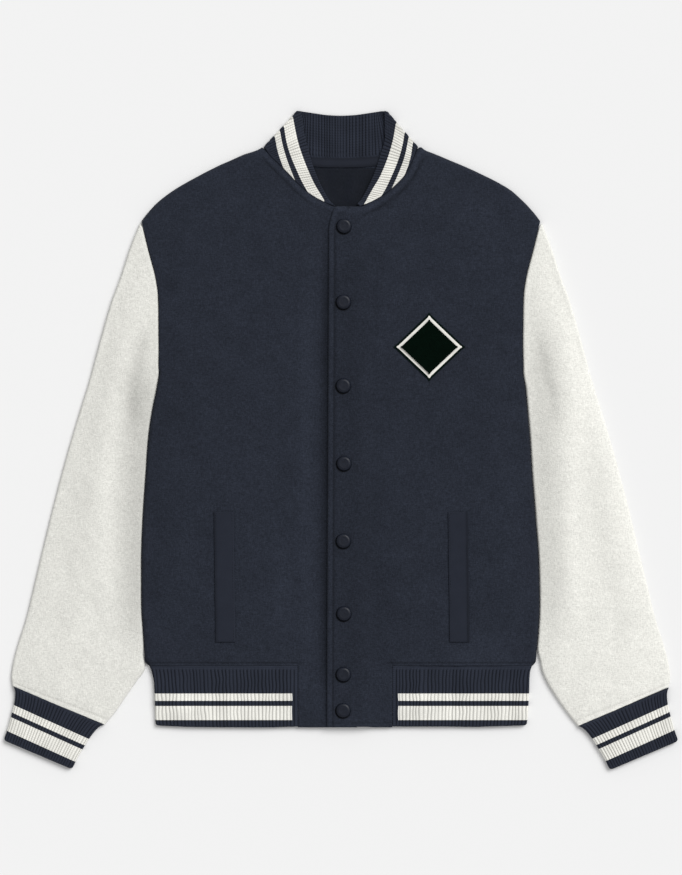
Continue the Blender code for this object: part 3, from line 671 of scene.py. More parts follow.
def front(side, name):
    """One front as a shell, with what its sheet is cut from."""
    half, h, keep, (edge_x, edge_h) = front_grid(side)
    x = side * half
    z, tone = front_height(side, x, h)

    side_h = np.linspace(BODY_SIDE[0][0], ARMPIT, 50)
    side_line = list(zip(side * body_edge(side)(side_h), side_h))
    shoulder_half = np.linspace(SHOULDER[-1][0], SHOULDER_POINT[0], 60)
    shoulder_line = list(zip(side * shoulder_half, top_line(side)(shoulder_half)))
    arm_h = np.linspace(ARMPIT, SHOULDER_TIP, 24)
    arm_line = list(zip(side * body_edge(side)(arm_h), arm_h))
    closing_line = [(side * edge_x[0], 0.0), (side * edge_x[0], edge_h[0]), (side * edge_x[-1], 598.0)]
    corner = closing_edge(side)[0] + np.linspace(0.0, CLOSING_CORNER, 15)
    closing_line += [(side * a, b) for a, b in zip(corner[1:], top_line(side)(corner[1:]))]
    neck_half = np.linspace(corner[-1], SHOULDER_POINT[0], 30)
    neck_line = list(zip(side * neck_half, top_line(side)(neck_half)))
    rib_end = RIB_END_RIGHT if side > 0 else -RIB_END_LEFT
    hem_line = [(side * edge_x[0], 0.0), (side * rib_end, 0.0)]

    def away(line):
        return distance_to(x, h, line)[0]

    # rolled side and shoulder, as quarter rounds with the lining side on the same centre
    to_side, _, side_normal = distance_to(x, h, side_line)
    to_shoulder, place, shoulder_normal = distance_to(x, h, shoulder_line)
    side_roll = rolled(to_side, EDGE_ROLL)
    shoulder_roll = rolled(to_shoulder, EDGE_ROLL) * smoothstep(1.0 - place, 0.0, 0.07)
    roll = np.maximum(side_roll, shoulder_roll)
    inward = side * np.where((side_roll > shoulder_roll)[..., None], side_normal, shoulder_normal)
    upright = 1.0 - roll / EDGE_ROLL
    tilt = np.sqrt(1.0 - upright**2)
    base = np.stack([x, h, z - roll], axis=-1)
    under = base + WOOL * np.concatenate([inward * tilt[..., None], -upright[..., None]], axis=-1)

    to_neck, to_arm = away(neck_line), away(arm_line)
    to_closing, to_hem = away(closing_line), away(hem_line)
    sink = 1.1 * np.exp(-to_neck / 2.2) + 0.9 * np.exp(-to_arm / 2.0)
    sink += groove(away(neck_stitch_line(side)), 0.45, 1.5)
    hem_seam_reach = smoothstep(half, rib_end - 7.0, rib_end - 4.0)
    sink += groove(h - HEM_SEAM, 1.0, 1.0) * hem_seam_reach
    sink += np.where(h < HEM_SEAM, groove(half - rib_end, 0.9, 1.1), 0.0)
    sink += groove(to_hem - HEM_STITCH, 0.35, 1.1)
    if side > 0:
        sink += groove(to_closing - CLOSING_STITCH, 0.5, 1.2) + rolled(to_closing, 1.4)
    sink += rolled(to_hem, 1.2)
    outer = base.copy()
    outer[..., 2] -= np.minimum(sink, WOOL - 0.8)

    # painted shade in seams and along edges, and painted light on a ridge
    tone = tone - 0.30 * np.exp(-to_side / 1.6) - 0.15 * np.exp(-to_shoulder / 1.5)
    seam_shade, ridge_light = NECK_TONES[side]
    tone = tone - seam_shade * np.exp(-to_neck / 1.6) + ridge_light * groove(to_neck - 4.8, 1.0, 2.8)
    tone = tone - 0.36 * groove(away(neck_stitch_line(side)), 1.0, 1.7)
    tone = tone - 0.18 * groove(h - HEM_SEAM, 1.0, 1.3) * hem_seam_reach
    snap = np.zeros((*x.shape, 3))
    if side > 0:
        # painted light on the strip along the closing edge, and painted shade in its stitching
        tone = tone + 0.14 * groove(to_closing - 3.6, 1.0, 2.4)
        tone = tone - 0.30 * groove(to_closing - CLOSING_STITCH - 0.8, 1.0, 1.2)
        nearest = np.argmin(np.abs(h[..., None] - SNAP_HEIGHTS), axis=-1)
        shift = np.array(SNAP_SHIFTS)[nearest]
        above = h - np.array(SNAP_HEIGHTS)[nearest] - shift[..., 1]
        snap = np.stack([x - CENTRE_FRONT - shift[..., 0], above, np.abs(above) < SNAP_SHADE_REACH], axis=-1)
    paint = {"tone": tone, "snap": snap}
    return shell(name, outer, under, NAVY, paint, keep=keep, flip=side < 0), base, keep


CLOTH = {}  # what each sheet is: its piece, the grid it is cut from, and the cells that are there
for side, word in ((-1, "left"), (1, "right")):
    CLOTH[f"front_{word}"] = front(side, f"wool_front_{word}")
    print(f"front {word}:", len(CLOTH[f"front_{word}"][0].data.polygons), "faces")

# %% [markdown]
# ## The back
#
# The back lies flat on the table and hardly shows: its neck is seen inside the collar, and its
# underside from below. It stops short of the sides, where the fronts wrap round it.


# %% Back
def back(name):
    low = RIB_HEIGHT + JOIN
    tip = SHOULDER_TIP - BACK_INSET * 1.3
    heights = np.concatenate([low + np.array([0.0, 1.0, 2.5]), np.arange(low + 6.0, tip - 3.0, 6.5), [tip]])
    inset = BACK_INSET * (1.0 - smoothstep(heights, ARMPIT + 16.0, ARMPIT + 70.0))
    left, right = inset - body_edge(-1)(heights), body_edge(1)(heights) - inset
    neck = [(x, h - 4 * JOIN) for x, h in BACK_NECK[1:]]
    corner = [(SHOULDER_POINT[0] - 0.4, SHOULDER_POINT[1] - 1.0), (SHOULDER_POINT[0] + 7.0, 689.8)]
    shoulder = [(x - 1.0, h - BACK_INSET * 1.2) for x, h in SHOULDER[1:-1]]
    top = curve(neck + corner + shoulder + [(right[-1], tip)])
    u = np.linspace(-1.0, 1.0, 81)
    x = (left + right)[:, None] / 2 + u[None, :] * (right - left)[:, None] / 2
    v = (heights - low) / (tip - low)
    h = low + v[:, None] * (top(np.abs(u) * right[-1])[None, :] - low)
    under = np.stack([x, h, np.zeros_like(x)], axis=-1)
    over = under + (0.0, 0.0, WOOL)
    tone = 1.0 + 0.03 * waviness(x, h, 90.0, seed=21)
    return shell(name, under, over, NAVY, {"tone": tone}, flip=True), under, None


CLOTH["back"] = back("wool_back")
print("back:", len(CLOTH["back"][0].data.polygons), "faces")

# %% [markdown]
# ## Flattened tubes
#
# Sleeves, cuffs and the hem band are tubes pressed flat: two layers joined by a round fold at each
# side. One section is a stadium shape, and a place round it is a single number, so ribs and folds
# can run all the way round without a break.


# %% Tube helper
def stadium(width, radius, p):
    """A flattened tube's section: p runs 0 to 1 over the top, then 1 to 2 back underneath.

    Gives the distance across from the first fold, and how far the face there turns out and up.
    """
    bend = radius * math.pi / 2
    half = width - 2 * radius + 2 * bend
    q = np.where(p <= 1.0, p, 2.0 - p) * half
    first = np.clip(q / bend, 0.0, 1.0) * math.pi / 2
    last = np.clip((half - q) / bend, 0.0, 1.0) * math.pi / 2
    straight = np.clip(q - bend, 0.0, np.maximum(half - 2 * bend, 0.0))
    across = radius * (1.0 - np.cos(first)) + straight + radius * np.cos(last)
    up = np.sin(first) * np.sin(last) * np.where(p <= 1.0, 1.0, -1.0)
    return across, np.cos(last) - np.cos(first), up


def tube_grid(first, last, p, inset, lift=0.0, fold=TUBE_TOP / 2):
    """Points of a flattened tube. first and last hold the plan points of its two folds, row by row."""
    span = last - first
    width = np.linalg.norm(span, axis=1)[:, None]
    radius = np.minimum(fold, width / 2)
    across, out, up = stadium(width, radius, p)
    plan = first[:, None] + (span / width)[:, None] * (across - out * inset)[..., None]
    z = radius + up * (radius - inset) + np.maximum(up, 0.0) * lift
    return np.concatenate([plan, z[..., None]], axis=-1), up


print("a 100 mm tube is", f"{stadium(100.0, 3.2, np.array([1.0]))[0][0]:.1f}", "mm across")

# %% [markdown]
# ## Sleeves
#
# A sleeve is a tapered tube set into the armhole: above the armpit its top layer ends at the seam,
# and below it the tube closes in a fold beside the body. The upper layer swells a little over the
# lower one, and the folds run down from the armpit and the elbow.

# %% Sleeves
SLEEVE_SWELL, SLEEVE_FOLD, SLEEVE_END, CUFF_STITCH = 5.0, 2.4, 2.2, 5.6
CUFF_RAISE = {"left": (1.1, 1.2), "right": (-0.9, 0.2)}  # how much higher a cuff's seam and its end lie
SLEEVE_TONE = {-1: 0.98, 1: 1.07}  # the sleeve away from the light is a little darker


def sleeve_inner(side):
    """Half width of the sleeve's inner edge at a height."""
    which = 1 if side < 0 else 2
    lower, body = curve(SLEEVE_INNER, 0, which), body_edge(side)

    def at(h):
        gap = SLEEVE_TO_BODY + (ARMHOLE_GAP - SLEEVE_TO_BODY) * smoothstep(h, ARMPIT - 22.0, ARMPIT)
        beside_body = body(h) + gap
        return lower(h) + (beside_body - lower(h)) * smoothstep(h, 78.0, 100.0)

    return at


def sleeve(side, name, folds, seed, cuff_raise):
    end = SLEEVE_END + cuff_raise[0] * math.cos(CUFF_ANGLE)
    cuff_rows = end + np.array([0.0, 0.3, 1.0, 2.2, 3.6, 4.8, 5.9, 6.8, 7.7, 9.0, 11.0])
    inner_h = np.concatenate([cuff_rows, np.arange(17.0, ARMPIT - 1.0, 3.1), np.arange(ARMPIT, 601.0, 3.0)])
    outer_h = curve(SLEEVE_SECTIONS, 1, 0)(inner_h)
    first = np.stack([side * curve(SLEEVE_OUTER, 1, 0)(outer_h), outer_h], axis=1)
    last = np.stack([side * sleeve_inner(side)(inner_h), inner_h], axis=1)

    # columns: dense round the folds, even between them, and wider spaced underneath
    width = np.linalg.norm(last - first, axis=1)[:, None]
    radius = np.minimum(SLEEVE_FOLD, width / 2)
    bend = radius * math.pi / 2
    bend_share = bend / (width - 2 * radius + 2 * bend)
    arc, top_even = np.linspace(0.0, 1.0, 7), np.linspace(0.0, 1.0, 56)[1:-1]
    under_even = np.linspace(0.0, 1.0, 18)[1:-1]

    def half_loop(even):
        middle = bend_share + (1.0 - 2.0 * bend_share) * even
        return np.concatenate([bend_share * arc, middle, 1.0 - bend_share * arc[::-1]], axis=1)

    over = half_loop(top_even)
    under = 2.0 - half_loop(under_even)[:, -2:0:-1]
    p = np.concatenate([over, under], axis=1)

    across, _, up = stadium(width, radius, p)
    place = across / width
    flat, _ = tube_grid(first, last, p, 0.0, fold=SLEEVE_FOLD)
    x, h = flat[..., 0], flat[..., 1]
    relief, tone = folded(folds, x, h)
    swell = SLEEVE_SWELL * np.sin(math.pi * np.clip(place, 0.0, 1.0)) ** 0.8 * np.minimum(width / 90.0, 1.0)
    swell *= 1.0 - 0.6 * np.exp(-(inner_h[:, None] - end) / 14.0)
    above_armpit = smoothstep(inner_h, ARMPIT - 20.0, ARMPIT + 5.0)[:, None]
    swell = np.maximum(swell, (TUBE_TOP - 2 * SLEEVE_FOLD) * above_armpit)
    relief = relief + 0.40 * waviness(x, h, 60.0, seed) + 0.14 * waviness(x, h, 18.0, seed + 1)
    from_cuff = np.maximum(inner_h[:, None] - end, 0.0)
    pucker = waviness(place * 120.0, h * 0.1, 11.0, seed + 2) * np.exp(-from_cuff / 16.0)
    relief = relief + 0.25 * pucker
    arm = smoothstep(inner_h, ARMPIT - 4.0, ARMPIT + 12.0)[:, None]
    to_arm = width - across
    sink = 1.3 * arm * np.exp(-to_arm / 2.6) + groove(from_cuff - CUFF_STITCH, 0.4, 1.1)
    sink += 0.5 * np.exp(-from_cuff / 1.4)
    lift = swell + relief * (1.0 - np.exp(-across / 8.0)) * (1.0 - np.exp(-to_arm / 8.0))
    outer, _ = tube_grid(first, last, p, 0.0, lift, fold=SLEEVE_FOLD)
    inner, _ = tube_grid(first, last, p, SLEEVE, lift, fold=SLEEVE_FOLD)
    outer[..., 2] -= np.maximum(up, 0.0) * np.minimum(sink, SLEEVE - 0.6)

    seam_column = over.shape[1] - 1
    keep = np.ones((len(inner_h) - 1, p.shape[1]), dtype=bool)
    keep[np.ix_(inner_h[:-1] >= ARMPIT, [seam_column - 1, seam_column])] = False
    # painted light along the cuff seam, and a little painted shade in the stitch line beside it
    tone = tone + 0.32 * np.exp(-from_cuff / 1.8) - 0.05 * groove(from_cuff - CUFF_STITCH - 0.6, 1.0, 1.4)
    paint = {"tone": SLEEVE_TONE[side] + tone * np.maximum(up, 0.0)}
    piece = shell(name, outer, inner, CREAM, paint, keep=keep, wrap=True, flip=side > 0)
    stitch_row = outer[int(np.argmin(np.abs(inner_h - end - CUFF_STITCH))), : seam_column + 1]
    return piece, np.concatenate([outer, outer[:, :1]], axis=1), keep, stitch_row


STITCH_PATHS = {}
for side, word, folds, seed in ((-1, "left", LEFT_SLEEVE_FOLDS, 31), (1, "right", RIGHT_SLEEVE_FOLDS, 41)):
    made = sleeve(side, f"wool_sleeve_{word}", folds, seed, CUFF_RAISE[word])
    CLOTH[f"sleeve_{word}"], STITCH_PATHS[f"sleeve_{word}"] = made[:3], made[3]
    print(f"sleeve {word}:", len(CLOTH[f"sleeve_{word}"][0].data.polygons), "faces")

# %% [markdown]
# ## Rib knit
#
# Ribbed bands are knitted in raised columns with narrow valleys between them, never quite even in
# width or depth. The columns are real relief here, because a band's outline and its shadows show
# them. The cream bands are knitted in, so the colour changes at one height all along the band.


# %% Rib columns
RIB_STEPS = np.array([0.0, 0.1, 0.28, 0.5, 0.72, 0.9])


def rib_columns(length, pitch, seed, closed):
    """Where a band's columns of points stand, how near a valley each is, and the valley's depth."""
    random = np.random.default_rng(seed)
    count = round(length / pitch)
    widths = np.clip(random.normal(1.0, 0.10, count), 0.8, 1.25)
    widths *= length / widths.sum()
    starts = np.concatenate([[0.0], np.cumsum(widths)[:-1]])
    depths = random.uniform(0.85, 1.25, count + 1)
    depths[-1] = depths[0]
    position = (starts[:, None] + RIB_STEPS * widths[:, None]).ravel()
    valley = np.tile(np.abs(2.0 * RIB_STEPS - 1.0), count)
    own = np.where(RIB_STEPS < 0.5, depths[:-1, None], depths[1:, None]).ravel()
    if not closed:
        position, valley, own = (np.append(a, b) for a, b in ((position, length), (valley, 1.0), (own, 1.0)))
    return position, valley, own


def rib_knit(name, stripes, yarn_size):
    """Rib knit in navy with cream stripes, each given by where it starts and ends along the rib."""
    material, tree, shader = new_material(name, roughness=0.9, sheen=0.03, specular=0.10)
    cloth = node(tree, "SeparateXYZ", {"Vector": attribute(tree, "cloth", "Vector")})
    along, shown = cloth.outputs["Y"], cloth.outputs["Z"]
    bands = []
    for low, high in stripes:
        above = node(tree, "Math", {0: along, 1: low}, operation="GREATER_THAN").outputs[0]
        below = node(tree, "Math", {0: along, 1: high}, operation="LESS_THAN").outputs[0]
        bands.append(product(tree, [above, below]))
    on_face = node(tree, "Math", {0: shown, 1: 0.0}, operation="GREATER_THAN").outputs[0]
    cream = product(tree, [total(tree, bands), on_face])
    colour = node(tree, "Mix", data_type="RGBA")
    tree.links.new(cream, colour.inputs["Factor"])
    colour.inputs["A"].default_value = (*RIB_NAVY, 1.0)
    colour.inputs["B"].default_value = (*RIB_CREAM, 1.0)
    yarn = node(tree, "Mapping", {"Vector": attribute(tree, "cloth", "Vector"), "Scale": (1.4, 0.35, 0.0)})
    streak_inputs = {"Vector": yarn.outputs["Vector"], "Scale": 1.0, "Detail": 3.0}
    streaks = node(tree, "TexNoise", streak_inputs).outputs["Fac"]
    flecks = noise(tree, 1.2, detail=4.0, rough=0.7)
    valley = attribute(tree, "valley")
    # valleys are painted darker, as painted shade; pale ribs light up their own valleys and dark ones don't,
    # so pale valleys get less of it
    deepest = node(tree, "MapRange", {"Value": cream, "To Min": NAVY_VALLEY, "To Max": CREAM_VALLEY})
    shading = {"Value": valley, "From Min": 0.45, "To Min": 1.0, "To Max": deepest.outputs["Result"]}
    parts = [
        attribute(tree, "tone"),
        node(tree, "MapRange", shading).outputs["Result"],
        spread(tree, streaks, 0.93, 1.07),
        spread(tree, flecks, 0.94, 1.06),
    ]
    tinted(tree, shader, colour.outputs["Result"], product(tree, parts))
    # the V of each stitch, from the height along the rib and the distance from its crest
    slant = node(tree, "Math", {0: valley, 1: 0.45 * math.tau}, operation="MULTIPLY").outputs[0]
    turn_inputs = {0: along, 1: math.tau / yarn_size, 2: slant}
    turn = node(tree, "Math", turn_inputs, operation="MULTIPLY_ADD").outputs[0]
    stitch = node(tree, "Math", {0: turn}, operation="SINE").outputs[0]
    bumped(tree, shader, total(tree, [stitch, flecks]), 0.5, 0.25)
    return material


RIB_NAVY, RIB_CREAM = (0.0226, 0.0270, 0.0405), (0.84, 0.83, 0.775)
NAVY_VALLEY, CREAM_VALLEY = 0.32, 0.56
HEM_PITCH, CUFF_PITCH, COLLAR_PITCH, FRONT_PITCH = 4.25, 3.5, 3.65, 3.1
HEM_KNIT = rib_knit("hem rib knit", ((8.8, 25.8), (32.0, 40.8)), 2.4)
CUFF_KNIT = rib_knit("cuff rib knit", ((20.8, 29.9), (35.5, 52.4)), 2.4)
COLLAR_KNIT = rib_knit("collar rib knit", ((9.5, 20.5), (25.5, 32.5)), 2.2)
print("rib knit:", HEM_KNIT.name, CUFF_KNIT.name, COLLAR_KNIT.name)

# %% [markdown]
# ## Cuffs
#
# A cuff is a short ribbed tube, gathered where it takes up the wider sleeve and folded over at its
# free end, so that end is round.

# %% Cuffs
CUFF_DEPTH, LIP = 0.85, 1.25
STRIPE_SHIFT, STRIPE_SLANT = {"left": -1.0, "right": 1.2}, 0.0245


def cuff(side, name, seed, cuff_raise, stripe_shift):
    length = CUFF_SECTIONS[-1][0]
    start = [JOIN, 0.5, 1.1, 2.0, 3.2]
    end = [length - 3.2, length - 2.2, length - 1.2, length - 0.5, length - 0.12, length]
    along = np.concatenate([start, np.arange(5.0, length - 4.0, 2.4), end])[::-1]
    half = curve(CUFF_SECTIONS)(along)
    down = along - np.interp(along, [0.0, length], cuff_raise)
    first = np.array([cuff_point(a, w) for a, w in zip(down, half)]) * (side, 1.0)
    last = np.array([cuff_point(a, -w) for a, w in zip(down, half)]) * (side, 1.0)
    round_it = 2 * (2 * curve(CUFF_SECTIONS)(40.0) - TUBE_TOP + TUBE_TOP * math.pi / 2)
    position, valley, own = rib_columns(float(round_it), CUFF_PITCH, seed, closed=True)
    p = np.broadcast_to(2.0 * position / round_it, (len(along), len(position)))
    alive = smoothstep(along, 0.3, 4.0)[:, None]
    lip = rolled(length - along, LIP)[:, None]
    shallow_end = 0.55 + 0.45 * smoothstep(length - along, 0.0, 6.0)[:, None]
    sink = CUFF_DEPTH * own * valley**2.6 * alive * shallow_end
    lift = 0.5 * np.sin(math.pi * np.clip(p, 0.0, 1.0)) * smoothstep(length - along, 0.0, 20.0)[:, None]
    base, _ = tube_grid(first, last, p, 0.0, lift)
    outer, _ = tube_grid(first, last, p, sink + lip, lift)
    inner, _ = tube_grid(first, last, p, RIB - lip * 0.9 - sink * 0.3, lift)
    outward = np.where(p <= 1.0, 1.0 - 2.0 * p, 2.0 * p - 3.0) * half[:, None]
    grown = along[:, None] + stripe_shift + STRIPE_SLANT * outward
    paint = {
        "tone": 1.0 + 0.04 * waviness(position[None, :], grown, 30.0, seed + 1),
        "valley": np.broadcast_to(valley * np.minimum(own, 1.0), p.shape) * np.broadcast_to(alive, p.shape),
        "cloth": np.stack([np.broadcast_to(position, p.shape), grown, np.ones(p.shape)], axis=-1),
    }
    piece = shell(name, outer, inner, CUFF_KNIT, paint, wrap=True, flip=side > 0)
    return piece, np.concatenate([base, base[:, :1]], axis=1), None


for side, word, seed in ((-1, "left", 51), (1, "right", 61)):
    CLOTH[f"cuff_{word}"] = cuff(side, f"knit_cuff_{word}", seed, CUFF_RAISE[word], STRIPE_SHIFT[word])
    print(f"cuff {word}:", len(CLOTH[f"cuff_{word}"][0].data.polygons), "faces")

# %% [markdown]
# ## Hem band
#
# The hem band starts at one front's tab, goes round the back, and ends at the other tab. It is a
# strip bent round a stadium section, and its free edge sags a little between tab and side.

# %% Hem band
HEM_DEPTH, PLAIN_TOP = 1.0, 71.0
STRIPE_END_LEFT, STRIPE_END_RIGHT = 6.7, 6.8
# distance across from the centre, how far the band's free edge stands above the hem line
HEM_LINE = (
    (-222.0, 2.2), (-205.0, 1.4), (-180.0, 0.5), (-140.0, 0.0), (-90.0, -0.1), (-62.0, 0.6), (-52.0, 0.9),
    (62.0, 1.0), (80.0, 0.9), (120.0, 1.0), (160.0, 0.5), (180.0, 1.1), (205.0, 1.9), (222.0, 2.4),
)


def hem_band(name):
    top = RIB_HEIGHT - JOIN
    rows = np.array([0.0, 0.12, 0.5, 1.2, 2.2, 3.6, *np.arange(6.0, 69.0, 2.6), 70.2, 71.4, 72.6, top])
    left, right = curve(RIB_SIDE, 0, 1)(rows), curve(RIB_SIDE, 0, 2)(rows)
    first, last = np.stack([-left, rows], axis=1), np.stack([right, rows], axis=1)
    radius = TUBE_TOP / 2
    bend = radius * math.pi / 2
    half = left + right - 2 * radius + 2 * bend
    start = (left + RIB_END_LEFT - JOIN - radius + bend) / half
    finish = 1.0 - (right - RIB_END_RIGHT - JOIN - radius + bend) / half
    length = float((half * (start + 2.0 - finish)).mean())
    position, valley, own = rib_columns(length, HEM_PITCH, seed=71, closed=False)
    ends = np.minimum(position, length - position)
    wiggle = 0.55 * waviness(position[None, :] * 0.8, rows[:, None], 15.0, seed=74)
    wiggle = wiggle * smoothstep(ends, 2.0, 8.0)
    share = (position[None, :] + wiggle * np.sin(math.pi * rows / top)[:, None]) / length
    p = np.mod(start[:, None] - share * (start + 2.0 - finish)[:, None], 2.0)
    alive = (1.0 - smoothstep(rows, PLAIN_TOP - 2.5, PLAIN_TOP + 1.2))[:, None]
    alive = alive * smoothstep(ends, 0.4, 3.0)[None, :]
    lip = rolled(rows, LIP)[:, None]
    sink = HEM_DEPTH * own * valley**2.6 * alive * (0.55 + 0.45 * smoothstep(rows, 0.0, 6.0)[:, None])
    plan, up = tube_grid(first, last, p, 0.0)
    wander = 0.30 * waviness(plan[..., 0], plan[..., 1], 55.0, seed=72)
    away_from_ends = smoothstep(ends, 2.0, 20.0)[None, :]
    lift = (0.8 * np.sin(math.pi * np.clip(rows / top, 0.0, 1.0))[:, None] + wander) * away_from_ends
    base, _ = tube_grid(first, last, p, 0.0, lift)
    seam_dip = 0.8 * np.exp(-ends / 1.2)[None, :]
    outer, _ = tube_grid(first, last, p, np.minimum(sink + lip + seam_dip, RIB - 0.5), lift)
    inner, _ = tube_grid(first, last, p, RIB - lip * 0.9, lift)
    sag = curve(HEM_LINE)(base[..., 0]) * (1.0 - smoothstep(base[..., 1], 0.0, 30.0))
    for grid in (base, outer, inner):
        grid[..., 1] += sag
    shown = np.minimum(position - STRIPE_END_LEFT, length - STRIPE_END_RIGHT - position)
    height = base[..., 1]
    cloth = [np.broadcast_to(position, p.shape), height, np.broadcast_to(shown, p.shape)]
    paint = {
        "tone": 1.0 + 0.05 * waviness(position[None, :], height, 34.0, seed=73),
        "valley": np.broadcast_to(valley * np.minimum(own, 1.0), p.shape) * np.broadcast_to(alive, p.shape),
        "cloth": np.stack(cloth, axis=-1),
    }
    return shell(name, outer, inner, HEM_KNIT, paint, flip=True), base, None


CLOTH["hem_rib"] = hem_band("knit_hem_band")
print("hem band:", len(CLOTH["hem_rib"][0].data.polygons), "faces")

# %% [markdown]
# ## Collar
#
# The collar is a ribbed band that stands round the neck. Laid flat, its front halves fold over its
# back half at both shoulders, so the outside shows in front and the inside shows behind. The band
# is a row of rib lines from neck seam to top edge, swept through the two folds.

# %% Collar
COLLAR_DEPTH, COLLAR_SWELL = 0.85, 1.3
FOLD_LEAN = {-1: 0.4, 1: 2.9}  # how much wider each shoulder fold stands at its top than on the plain piece
CORNER_EASE = {-1: 0.8, 1: 2.2}  # how far the fold's top corner is rounded off
TOP_RAISE, EDGE_SETTLE = 0.8, 1.1  # the top edge stands higher, and the front's edge settles on the back
STRIPE_KNOTS = (9.5, 20.5, 25.5, 32.5)  # where the stripes start and end, from the top edge
# the stripes' four edges, each by (half width, height) from its upper end past the fold down to the neck seam
STRIPE_EDGES = {
    -1: (
        ((60, 745), (52, 705), (34, 657), (20, 633)),
        ((70, 735), (65, 702), (49, 660), (34, 633)),
        ((74, 722), (70, 700), (55, 657), (46, 640)),
        ((81, 721), (76, 694), (58, 645)),
    ),
    1: (
        ((69, 745), (63, 707), (48, 663), (38, 646), (28, 628)),
        ((79, 735), (74, 699), (57, 653), (40, 624)),
        ((83, 720), (78, 691), (60, 645), (48, 625)),
        ((88, 717), (84, 687), (67, 640)),
    ),
}
LAST_STRIPED, LEAST_STRIPE = 11.0, 3.0  # past this rib line the band faces back, and the narrowest band


def stripe_distances(side, top_end, neck_end):
    """How far from the top edge a rib line crosses the four edges of the stripes."""
    way = neck_end[:2] - top_end[:2]
    share = np.linspace(0.0, 1.4, 141)
    plan = top_end[:2] + share[:, None] * way
    distances = [0.0]
    for edge in STRIPE_EDGES[side]:
        past = side * plan[:, 0] - curve(edge, 1, 0)(plan[:, 1])
        crossing = np.interp(0.0, np.maximum.accumulate(past), share * np.linalg.norm(way))
        distances.append(max(crossing, distances[-1] + LEAST_STRIPE))
    return distances


def collar_lines():
    """Rib lines along the band from closing to closing: neck end, top end, and level."""
    high = COLLAR_LOW + 2 * FOLD_RADIUS
    neck, top = curve(BACK_NECK), curve(BACK_TOP)

    def half(side):
        fold_top = np.array(COLLAR_FOLD_TOP) + (FOLD_LEAN[side], 0.0)
        fold = fold_top - np.array(SHOULDER_POINT)
        inward = np.array([fold[1], -fold[0]]) / np.linalg.norm(fold)
        inward *= -np.sign(inward[0])
        lines = []
        for seam_x, seam_h, top_x, top_h in COLLAR_FRONT:
            x0, x1 = side * seam_x + seam_lean(seam_h), side * top_x + top_lean(top_h)
            lift = float(overlap_rise(x0)) if side > 0 else 0.0
            lines.append((x0, seam_h, high + lift, x1, top_h, high + lift))
        for turn in np.radians(np.linspace(90.0, -90.0, 9)):
            move = inward * (COLLAR_LOW + FOLD_RADIUS * (1.0 - math.cos(turn)))
            z = COLLAR_LOW + FOLD_RADIUS + FOLD_RADIUS * math.sin(turn)
            seam_end = np.array(SHOULDER_POINT) + move
            # the fold's top corner is round: its outermost line ends a little lower
            ease = fold / np.linalg.norm(fold) * CORNER_EASE[side] * math.cos(turn)
            top_end = fold_top + move * (1.0, 0.25) - ease
            lines.append((side * seam_end[0], seam_end[1], z, side * top_end[0], top_end[1], z))
        for seam_x, top_x in BACK_RIBS:
            seam_h, top_h = float(neck(seam_x)), float(top(top_x))
            lines.append((side * seam_x, seam_h, COLLAR_LOW, side * top_x, top_h, COLLAR_LOW))
        return lines

    return np.array(half(-1) + half(1)[-2::-1], dtype=float)


